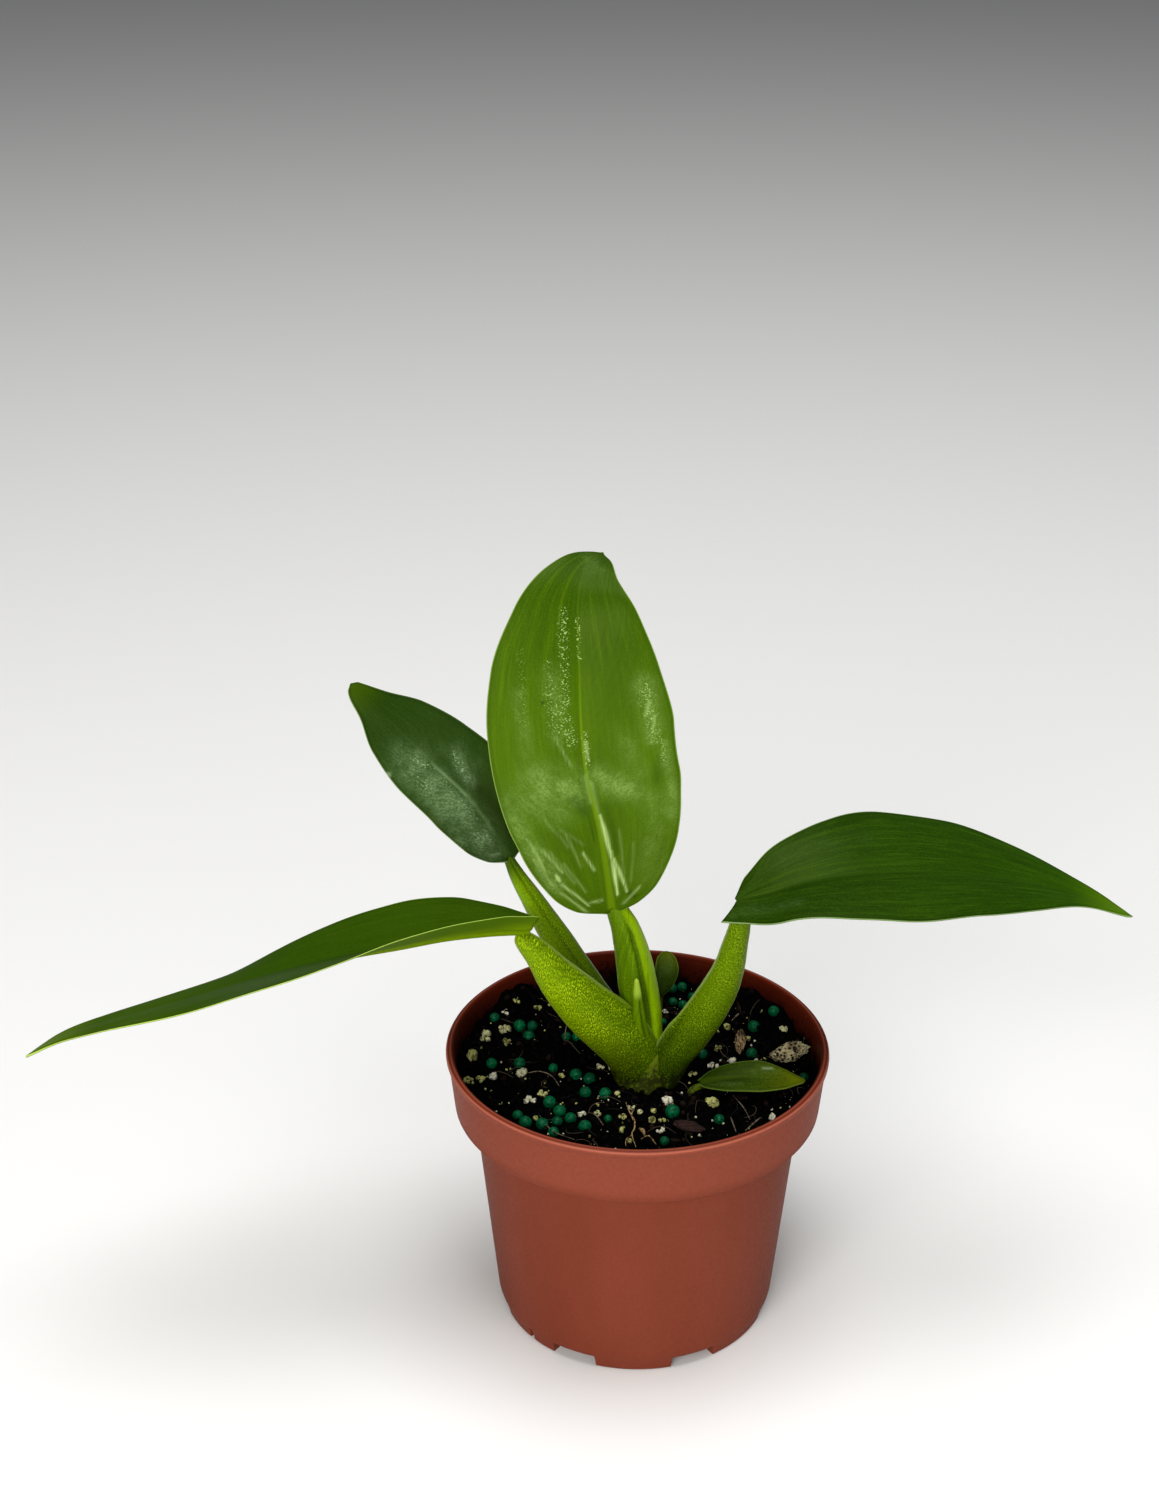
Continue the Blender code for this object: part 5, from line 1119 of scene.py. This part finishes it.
def speck_pieces(draw):
    """Return fine pale specks of broken perlite."""
    base, faces = ball(2)
    bits = []
    for _ in range(SPECK_COUNT):
        spot = soil_spot(draw, SPECK_LIMIT)
        size = 0.1 + 0.4 * draw.random() ** 2
        grain = chipped(base * (1, 0.8, 0.7), draw, 5)
        place = on_soil(*spot, draw.uniform(0.1, 0.7))
        bits.append((turned(grain, draw) * size + place, faces, draw.random()))
    return join_bits("perlite_specks", bits)


def strand(path, radius, sides):
    """Return the points and faces of a fine closed strand along a path, thinner at its ends."""
    path = np.asarray(path, float)
    tangent = unit(np.gradient(path, axis=0))
    across = unit(np.cross(tangent, STRAND_AXIS))
    taper = np.sin(np.linspace(0.12, math.pi - 0.12, len(path))) ** 0.5 * radius
    points = ring_points(path, np.repeat(taper[:, None], sides, axis=1), across, np.cross(across, tangent))
    quads = grid_faces(len(path), sides, True)
    last = (len(path) - 1) * sides
    caps = [(0, k + 1, k) for k in range(1, sides - 1)]
    caps += [(last, last + k, last + k + 1) for k in range(1, sides - 1)]
    return points.reshape(-1, 3), np.vstack([quads[:, :3], quads[:, (0, 2, 3)], caps])


def fibre_pieces(draw):
    """Return fine root and peat fibres that lie curled on the soil."""
    bits = []
    for _ in range(FIBRE_COUNT):
        x, y = soil_spot(draw, FIBRE_LIMIT)
        heading = draw.uniform(0, 2 * math.pi)
        bend = draw.uniform(-0.25, 0.25)
        step = draw.uniform(0.25, 0.75)
        path = []
        for k in range(FIBRE_POINTS):
            path.append(on_soil(x, y, 0.45 + math.sin(math.pi * k / (FIBRE_POINTS - 1)) * step * 1.2))
            heading += bend + draw.uniform(-0.25, 0.25)
            x += step * math.cos(heading)
            y += step * math.sin(heading)
            if math.hypot(x, y) > SPECK_LIMIT:
                break
        if len(path) > 4:
            bits.append((*strand(path, draw.uniform(0.04, 0.1), 5), draw.random()))
    return join_bits("soil_fibres", bits)


def laid_pieces(name, rows):
    """Return strands laid one by one, each with a tint of its own."""
    strands = [strand(smooth_path(points, LAID_POINTS), radius, 8) for points, radius in rows]
    return join_bits(name, [(*bit, k * 0.37 % 1) for k, bit in enumerate(strands)])


def lump_piece(name):
    """Return a stone or chip in its node's place, with pits and grain of its own."""
    place, size, turns, depth, seed = LUMPS[name]
    base, faces = ball(6)
    points = base * (1 + depth * (rough(base, 0.9, 3, seed) + 0.45 * rough(base, 0.3, 4, seed + 1)))[:, None]
    points *= np.array(size) / 2 / np.abs(points).max(axis=0)
    points = points @ np.array(Euler([math.radians(turn) for turn in turns]).to_matrix()).T
    return add_mesh(name + "_fine", points + place, faces.tolist())


def color(tone):
    """Return a linear colour from a tone of screen values from 0 to 255."""
    shares = [value / 255 for value in tone]
    linear = [share / 12.92 if share <= 0.04045 else ((share + 0.055) / 1.055) ** 2.4 for share in shares]
    return (*linear, 1.0)


class Coat:
    """A Principled material built up node by node, with tones painted over each other as its base colour."""

    def __init__(self, name, tone):
        self.material = bpy.data.materials.new(name)
        self.material.use_nodes = True
        self.tree = self.material.node_tree
        self.base = tone

    def feed(self, socket, value):
        """Set an input, or link it if the value is another node's output; a colour may be a tone."""
        if isinstance(value, bpy.types.NodeSocket):
            self.tree.links.new(value, socket)
        elif socket.type == "RGBA" and len(value) == 3:
            socket.default_value = color(value)
        else:
            socket.default_value = value

    def node(self, kind, output, inputs, **settings):
        """Return an output of a new node with its settings made and its inputs fed."""
        made = self.tree.nodes.new("ShaderNode" + kind)
        for key, value in settings.items():
            setattr(made, key, value)
        for key, value in inputs.items():
            self.feed(made.inputs[key], value)
        return made.outputs[output]

    def value(self, name):
        """Return a number that the mesh holds at its points."""
        return self.node("Attribute", "Fac", {}, attribute_name=name)

    def place(self):
        """Return the point's place in millimetres."""
        where = self.node("TexCoord", "Object", {})
        return self.node("VectorMath", "Vector", {0: where, "Scale": 1 / MM}, operation="SCALE")

    def axis(self, letter):
        """Return the point's place along an axis in millimetres."""
        return self.node("SeparateXYZ", letter, {"Vector": self.place()})

    def math(self, operation, first, second=0.0, clamp=False):
        """Return the result of a sum."""
        return self.node("Math", "Value", {0: first, 1: second}, operation=operation, use_clamp=clamp)

    def times(self, first, second):
        """Return the product of two numbers."""
        return self.math("MULTIPLY", first, second)

    def plus(self, first, second):
        """Return the sum of two numbers."""
        return self.math("ADD", first, second)

    def stretch(self, vector, scale):
        """Return a vector with each of its parts scaled."""
        return self.node("VectorMath", "Vector", {0: vector, 1: scale}, operation="MULTIPLY")

    def grain(self, vector, scale, detail, roughness=0.55, distortion=0.0):
        """Return soft noise of 0 to 1."""
        inputs = {"Vector": vector, "Scale": scale, "Detail": detail, "Roughness": roughness}
        return self.node("TexNoise", "Fac", {**inputs, "Distortion": distortion})

    def drawn(self, x, x_scale, y, y_scale, detail, roughness=0.6, distortion=0.0):
        """Return noise drawn out along a surface's own two directions."""
        spot = {"X": self.times(x, x_scale), "Y": self.times(y, y_scale)}
        return self.grain(self.node("CombineXYZ", "Vector", spot), 1.0, detail, roughness, distortion)

    def cells(self, vector, scale):
        """Return the distance to the nearest of many scattered points."""
        return self.node("TexVoronoi", "Distance", {"Vector": vector, "Scale": scale}, feature="F1")

    def rise(self, value, low, high, bottom=0.0, top=1.0):
        """Return a smooth step from bottom to top as the value goes from low to high."""
        inputs = {"Value": value, "From Min": low, "From Max": high, "To Min": bottom, "To Max": top}
        return self.node("MapRange", "Result", inputs, interpolation_type="SMOOTHSTEP")

    def mix(self, amount, first, second):
        """Return one colour mixed into another."""
        made = self.tree.nodes.new("ShaderNodeMix")
        made.data_type = "RGBA"
        for key, value in ((0, amount), (6, first), (7, second)):
            self.feed(made.inputs[key], value)
        return made.outputs[2]

    def paint(self, amount, tone):
        """Mix a tone into the base colour."""
        self.base = self.mix(amount, self.base, tone)

    def fade(self, tone, value, low, high, bottom=0.0, top=1.0):
        """Mix in a tone from bottom to top as the value goes from low to high."""
        self.paint(self.rise(value, low, high, bottom, top), tone)

    def done(self, roughness, specular, relief=None, depth=0.0, strength=0.0, tint=(1.0, 1.0, 1.0, 1.0)):
        """Return the material with its base colour and shine set, and a relief laid on it in millimetres."""
        inputs = {"Base Color": self.base, "Roughness": roughness, "Specular IOR Level": specular,
                  "Specular Tint": tint}
        if relief is not None:
            bump = {"Height": relief, "Distance": depth * MM, "Strength": strength}
            inputs["Normal"] = self.node("Bump", "Normal", bump)
        shader = self.tree.nodes["Principled BSDF"]
        for key, value in inputs.items():
            self.feed(shader.inputs[key], value)
        return self.material


def pot_coat():
    """Return brick-red moulded plastic, satin, with soil stuck to its inside, its inside wall darker as
    painted shade, its collar lighter as painted light, and rings of painted shade and highlight on its lip.
    """
    coat = Coat("pot_plastic", POT_TONES["body"])
    place, height = coat.place(), coat.axis("Z")
    cloud = coat.grain(coat.stretch(place, (1.0, 1.0, 0.35)), 0.035, 3.0)
    fine = coat.grain(place, 1.3, 3.0, 0.6)
    coat.fade(POT_TONES["body_light"], cloud, 0.3, 0.7)
    # Painted light: the collar lighter than the body below it
    coat.fade(POT_TONES["collar"], height, 62.0, 66.0)
    coat.fade(POT_TONES["lip"], height, 76.4, 77.4, 0.0, 0.6)
    coat.fade(POT_TONES["body_dark"], fine, 0.35, 0.7, 0.0, 0.2)
    # Rings on the lip: a dark groove line of painted shade and pale lines of painted highlight
    for radius, width, share, tone in LIP_PAINTED_RINGS:
        away = coat.math("ABSOLUTE", coat.math("SUBTRACT", coat.value("reach"), radius))
        ring = coat.times(coat.rise(away, width / 3, width, share, 0.0), coat.rise(height, 77.6, 78.0))
        coat.paint(ring, tone)
    ragged = coat.times(coat.math("SUBTRACT", coat.grain(place, 0.22, 6.0, 0.7), 0.5), 16.0)
    level = coat.plus(height, ragged)
    splash = coat.rise(level, 70.5, 74.5, 1.0, 0.0)
    grit = coat.rise(coat.grain(place, 0.9, 4.0, 0.7), 0.56, 0.64)
    grit = coat.times(grit, coat.rise(level, 73.0, 79.0, 1.0, 0.0))
    # Painted shade: the inside wall darker than the outside, deepest lower down; soil smears and grit over
    # it
    inner = coat.mix(coat.rise(height, 71.0, 78.6), POT_TONES["inside"], POT_TONES["inside_top"])
    inner = coat.mix(coat.math("MAXIMUM", splash, grit), inner, POT_TONES["dirt"])
    coat.paint(coat.value("inside"), inner)
    matt = coat.rise(fine, 0.3, 0.7, 0.48, 0.6)
    satin = coat.math("SUBTRACT", matt, coat.rise(height, 77.0, 78.2, 0.0, 0.2))
    return coat.done(satin, 0.06, coat.grain(place, 4.0, 2.0, 0.5), 0.03, 0.35, (1.0, 0.78, 0.7, 1.0))


def soil_coat():
    """Return black moist peat."""
    coat = Coat("potting_mix", (1, 1, 1))
    place = coat.place()
    coat.fade((6, 4, 3), coat.grain(place, 0.6, 5.0, 0.6), 0.45, 0.8)
    return coat.done(0.9, 0.015, coat.grain(place, 2.2, 6.0, 0.7), 0.5, 0.8)


def crumb_coat():
    """Return peat and bark bits, from black to dark brown."""
    coat = Coat("peat_crumbs", (1, 1, 1))
    grain = coat.grain(coat.place(), 2.0, 4.0, 0.6)
    coat.fade((24, 14, 10), coat.value("tint"), 0.25, 1.0)
    coat.fade((34, 28, 22), grain, 0.6, 0.85, 0.0, 0.15)
    return coat.done(0.8, 0.03, grain, 0.25, 0.7)


def prill_coat():
    """Return the prills' dark green resin coat, mottled and dusty, the paler patches partly a painted
    highlight.
    """
    coat = Coat("prill_coat", (0, 62, 34))
    place = coat.place()
    dust_and_highlight = coat.grain(place, 1.5, 4.0, 0.7)
    coat.paint(coat.value("tint"), (0, 86, 48))
    coat.fade((0, 24, 14), dust_and_highlight, 0.45, 0.62, 0.0, 0.8)
    # Paler patches: partly dusty, partly a painted highlight
    coat.fade((8, 126, 76), dust_and_highlight, 0.42, 0.28, 0.0, 0.6)
    shine = coat.rise(dust_and_highlight, 0.4, 0.7, 0.24, 0.45)
    return coat.done(shine, 0.12, coat.grain(place, 2.2, 4.0), 0.14, 0.7, (0.6, 1.0, 0.85, 1.0))


def perlite_coat():
    """Return popcorn perlite, from white to dirty yellow-green, with its pits painted near black as shade.
    """
    coat = Coat("perlite", (186, 182, 160))
    place, tint = coat.place(), coat.value("tint")
    pits = coat.cells(place, 1.3)
    soiled = coat.plus(coat.grain(place, 0.7, 5.0, 0.7), coat.times(tint, 0.1))
    coat.fade((158, 158, 92), tint, 0.3, 0.6)
    coat.fade((44, 40, 16), soiled, 0.55, 0.68, 0.0, 0.9)
    # Painted shade in the pits
    coat.fade((12, 10, 8), pits, 0.14, 0.26, 0.9, 0.0)
    return coat.done(0.85, PLAIN_SPECULAR, pits, 0.35, 0.8)


def fibre_coat():
    """Return peat fibres from dark brown to grey."""
    coat = Coat("peat_fibre", (14, 10, 8))
    coat.fade((78, 66, 52), coat.value("tint"), 0.3, 1.0)
    return coat.done(0.75, PLAIN_SPECULAR)


def root_coat(name, light, dark):
    """Return a root's skin, pale with darker joints."""
    coat = Coat(name, light)
    patch = coat.grain(coat.place(), 0.9, 4.0, 0.6)
    coat.fade(dark, patch, 0.42, 0.62)
    return coat.done(0.7, PLAIN_SPECULAR, patch, 0.1, 0.5)


def pumice_coat():
    """Return tan pumice with pits painted near black as shade to the left and a smoother cream end to the
    right.
    """
    coat = Coat("pumice_stone", (100, 86, 62))
    place = coat.place()
    pits, fine = coat.cells(coat.stretch(place, (1.0, 1.0, 1.4)), 0.95), coat.cells(place, 1.7)
    left = coat.rise(coat.axis("X"), PUMICE_SMOOTH_X - 2.0, PUMICE_SMOOTH_X + 1.5, 1.0, 0.15)
    coat.fade((160, 148, 112), coat.grain(place, 0.4, 4.0, 0.6), 0.35, 0.6)
    coat.fade((172, 162, 124), left, 0.9, 0.3, 0.0, 0.6)
    # Painted shade in the large and the fine pits
    coat.paint(coat.times(coat.rise(pits, 0.32, 0.44, 0.98, 0.0), left), (10, 8, 7))
    coat.paint(coat.times(coat.rise(fine, 0.14, 0.26, 0.85, 0.0), left), (26, 20, 15))
    holes = coat.plus(coat.rise(pits, 0.05, 0.4), coat.times(fine, 0.5))
    return coat.done(0.88, PLAIN_SPECULAR, holes, 0.6, 0.9)


def bark_coat(name, light, dark, lengthwise):
    """Return split bark with grain along the chip."""
    coat = Coat(name, dark)
    grain = coat.grain(coat.stretch(coat.place(), lengthwise), 1.0, 5.0, 0.7)
    coat.fade(light, grain, 0.42, 0.6)
    return coat.done(0.8, PLAIN_SPECULAR, grain, 0.4, 0.8)


def crown_coat():
    """Return the crown's skin: olive green, smeared with soil at its foot."""
    coat = Coat("crown_skin", (62, 76, 4))
    place = coat.place()
    patch = coat.grain(place, 0.35, 4.0, 0.6)
    soil = coat.rise(coat.axis("Z"), 69.5, 77.0, 1.0, 0.0)
    smear = coat.plus(coat.grain(place, 1.0, 5.0, 0.7), coat.times(soil, 0.25))
    coat.fade((78, 92, 10), patch, 0.35, 0.65)
    coat.fade((22, 22, 6), smear, 0.58, 0.74, 0.0, 0.8)
    return coat.done(0.7, 0.05, patch, 0.5, 0.6)


def leaf_coat(name, look):
    """Return a blade's skin: streaked from foot to tip, with painted highlights (sheens, glints and bright
    lines), painted shade, and a pale midrib and margin.
    """
    look = SimpleNamespace(**LEAF_BASE | look)
    coat = Coat(name, look.foot)
    keys = ("along", "over", "side", "vein", "spark", "shade", "rim")
    along, over, side, vein, spark, shade, margin = (coat.value(key) for key in keys)
    place = coat.place()
    streak = coat.drawn(side, 8.0, along, 2.0, 4.0, 0.65)
    thread = coat.drawn(side, 40.0, along, 9.0, 2.0)
    ripple = coat.drawn(vein, 1.2, over, 0.5, 3.0, 0.6, 0.8)
    stipple = coat.grain(coat.stretch(place, (1.0, 1.0, 1.6)), 1.9, 1.0, 0.6)
    grain = coat.plus(coat.times(ripple, 0.5), coat.times(stipple, 0.5))
    coat.fade(look.mid, along, 0.05, 0.4)
    coat.fade(look.top, along, look.top_from, 0.98)
    coat.fade(look.dark, coat.grain(place, 0.05, 3.0, 0.5), 0.4, 0.7, 0.0, 0.3)
    for soft, share in ((streak, look.streak), (thread, look.thread), (stipple, look.grain)):
        coat.fade(look.light, soft, 0.5, 0.72, 0.0, share)
        coat.fade(look.dark, soft, 0.5, 0.28, 0.0, share)
    # Painted shade where the shade marks lie, and near black where the strongest one marks a real dark speck
    coat.paint(coat.math("MINIMUM", shade, 1.0), look.dark)
    coat.fade((4, 8, 2), shade, 1.2, 1.8)
    rib = coat.rise(coat.value("band"), 0.3, 1.0, look.rib_strength, 0.0)
    coat.paint(coat.times(rib, coat.rise(along, 0.35, 0.97, 1.0, 0.0)), look.rib)
    # Painted highlight: soft sheen patches, broken up by grain and blotches
    sheen = coat.times(coat.value("sheen"), coat.rise(grain, 0.4, 0.6, 0.4, 1.0))
    blotch = coat.rise(coat.grain(place, 0.2, 3.0, 0.6), 0.35, 0.62, 0.45, 1.2)
    coat.paint(coat.times(sheen, blotch), look.sheen)
    # Painted highlights: stippled glints, and bright lines that are mostly painted highlights (one is a pale
    # scar)
    glints = coat.rise(coat.plus(coat.times(spark, 0.12), stipple), 0.635, 0.77)
    glints = coat.times(glints, coat.rise(spark, 0.05, 0.5, 0.0, 0.66))
    broken = coat.times(coat.value("line"), coat.rise(thread, 0.34, 0.56, 0.35, 0.84))
    coat.paint(coat.math("MAXIMUM", glints, broken, True), look.glint)
    coat.fade(look.tip, along, look.tip_from, 0.99, 0.0, look.tip_strength)
    inner = coat.times(coat.rise(margin, 0.25, 0.45), coat.rise(margin, 0.6, 1.3, 0.4, 0.0))
    coat.paint(inner, look.dark)
    outer = coat.rise(margin, 0.14, 0.34, look.margin_strength, 0.0)
    coat.paint(coat.times(outer, coat.rise(side, 0.3, -0.3, look.far_margin, 1.0)), look.margin)
    below = coat.mix(coat.rise(streak, 0.35, 0.7, 0.0, 0.6), look.below, look.light)
    keel = coat.times(coat.rise(coat.math("ABSOLUTE", over), 1.0, 6.5, 1.0, 0.0),
                      coat.rise(grain, 0.38, 0.58, 0.55, 0.95))
    under = coat.value("under")
    coat.paint(under, coat.mix(keel, below, look.keel))
    shine = coat.rise(grain, 0.3, 0.7, look.gloss, look.gloss + 0.14)
    shine = coat.math("MAXIMUM", shine, coat.times(under, 0.85))
    return coat.done(shine, look.specular, grain, 0.14, 0.5, WAXY_TINT)


def stalk_coat(name, look):
    """Return a stalk's skin: lime green with fine bright dashes between dark ones, dirty at its foot, with
    painted shade on one side and in its grooves, painted light on the other side and a painted highlight
    along its edges.
    """
    look = SimpleNamespace(**STALK_BASE | look)
    coat = Coat(name, look.top)
    run, around, along, right, fold = (coat.value(key) for key in ("run", "round", "along", "right", "fold"))
    place = coat.place()
    streak = coat.drawn(around, 1.1, run, 0.1, 4.0)
    dashes = coat.drawn(around, 2.9, run, 1.9, 2.0)
    amount = coat.times(coat.rise(coat.grain(place, 0.22, 2.0), 0.3, 0.7, 0.4, 1.0),
                        coat.rise(along, 0.4, 0.9, look.stipple, 0.35))
    coat.fade(look.foot, along, 0.25, 0.95)
    # Painted shade: one side of the stalk darker
    coat.fade(look.dark, right, -0.6, 0.95, 0.0, look.shaded)
    # Painted light: the other side lighter
    coat.fade(look.light, right, 0.1, 0.8, 0.0, look.lit)
    coat.fade(look.light, streak, 0.5, 0.75, 0.0, look.streak)
    coat.fade(look.dark, streak, 0.5, 0.25, 0.0, look.streak)
    # Painted shade in the grooves
    coat.fade(look.dark, fold, -0.05, -0.4, 0.0, 0.75)
    coat.paint(coat.times(coat.times(coat.rise(dashes, 0.49, 0.4), amount), 0.7), look.dark)
    coat.paint(coat.times(coat.rise(dashes, 0.51, 0.6), amount), look.spark)
    # Painted highlight: a pale line along the stalk's outline
    coat.fade(look.rim, coat.math("ABSOLUTE", right), 0.92, 0.98, 0.0, look.edge)
    coat.fade(look.tip, along, 0.12, 0.22, look.tip_strength, 0.0)
    soil = coat.rise(coat.axis("Z"), 68.5, 76.0, 1.0, 0.0)
    smear = coat.plus(coat.grain(place, 0.55, 5.0, 0.7), coat.times(soil, 0.22))
    dirt = coat.times(coat.rise(smear, 0.6, 0.72), coat.rise(soil, 0.0, 0.25))
    coat.paint(coat.times(dirt, 0.85), (20, 18, 6))
    shine = coat.rise(dashes, 0.3, 0.7, 0.4, 0.55)
    return coat.done(shine, PLAIN_SPECULAR, dashes, look.relief, 0.6, WAXY_TINT)


def make_plant():
    """Dress the crown, the stalks, the spear and the blades."""
    dress(crown_piece(), ["crown"], crown_coat())
    skins = {name: stalk_coat(name + "_skin", look) for name, look in STALK_LOOKS.items()}
    for name, sections in STALKS.items():
        slot = "stalk_small" if name.startswith("small") else name
        dress(stalk_piece(name, sections), [name], skins[slot])
    skins = {name: leaf_coat(name + "_skin", look) for name, look in LEAF_LOOKS.items()}
    for name, spec in BLADES.items():
        slot = "leaf_small" if name.startswith("small") else name.replace("blade", "leaf")
        dress(blade_piece(name, spec), [name], skins[slot])


def make_soil():
    """Dress the soil and all that lies in its surface."""
    draw = random.Random(LITTER_SEED)
    taken = [(place[0], place[1], min(size[:2]) / 2) for place, size, *_ in LUMPS.values()]
    prills = scatter(PRILL_CLUMPS, draw, taken)
    perlite = scatter(PERLITE_CLUMPS, draw, taken)
    pieces = (
        (soil_piece(), soil_coat()),
        (prill_pieces(prills, random.Random(11)), prill_coat()),
        (perlite_pieces(perlite, random.Random(12)), perlite_coat()),
        (crumb_pieces(random.Random(13)), crumb_coat()),
        (speck_pieces(random.Random(14)), perlite_coat()),
        (fibre_pieces(random.Random(15)), fibre_coat()),
        (laid_pieces("root_tuft", ROOTS), root_coat("root_skin", (150, 120, 78), (60, 42, 20))),
        (laid_pieces("laid_threads", THREADS), root_coat("thread_skin", (104, 92, 74), (50, 40, 30))),
    )
    for piece, coat in pieces:
        dress(piece, ["soil"], coat)
    dress(lump_piece("pumice_chunk"), ["pumice_chunk"], pumice_coat())
    pale = bark_coat("bark_pale", (146, 120, 84), (30, 20, 12), (1.8, 0.3, 1.8))
    red = bark_coat("bark_red", (46, 24, 18), (14, 8, 6), (0.5, 2.2, 2.2))
    for name, coat in (("bark_chip_pale", pale), ("bark_chip_red", red)):
        dress(lump_piece(name), [name], coat)


def make_floor():
    """Lay the pale floor."""
    mesh = bpy.data.meshes.new("floor")
    corners = [(x * FLOOR_HALF, y * FLOOR_HALF, 0) for x, y in ((-1, -1), (1, -1), (1, 1), (-1, 1))]
    mesh.from_pydata(corners, [], [(0, 1, 2, 3)])
    mesh.materials.append(Coat("pale_floor", (238, 237, 235)).done(0.75, 0.2))
    floor = add_object("floor", mesh)


def make_lights():
    """Set the soft studio lights and the even light all round."""
    for name, (place, size, power, tint) in LIGHTS.items():
        light = bpy.data.lights.new(name, "AREA")
        light.shape = "RECTANGLE"
        light.size, light.size_y = size
        light.energy = power
        light.color = tint
        obj = add_object(name, light)
        obj.location = place
        obj.rotation_euler = (Vector(TARGET) - Vector(place)).to_track_quat("-Z", "Y").to_euler()
    world = bpy.data.worlds.new("studio")
    world.use_nodes = True
    inputs = world.node_tree.nodes["Background"].inputs
    inputs["Color"].default_value = WORLD_COLOR
    inputs["Strength"].default_value = WORLD_STRENGTH
    bpy.context.scene.world = world
    bpy.context.scene.view_settings.view_transform = "Standard"


def make_camera():
    """Set the camera at the photograph's viewing angle."""
    data = bpy.data.cameras.new("camera")
    data.sensor_fit = "VERTICAL"
    data.sensor_height = SENSOR
    data.lens = CAMERA_LENS
    data.clip_start = 0.01
    camera = add_object("camera", data)
    camera.location = in_frame(CAMERA_PLACE)
    camera.rotation_euler = (math.radians(90 - CAMERA_PITCH), 0.0, 0.0)
    bpy.context.scene.camera = camera


make_camera()
dress(pot_piece(), ["pot"], pot_coat())
make_soil()
make_plant()
make_floor()
make_lights()
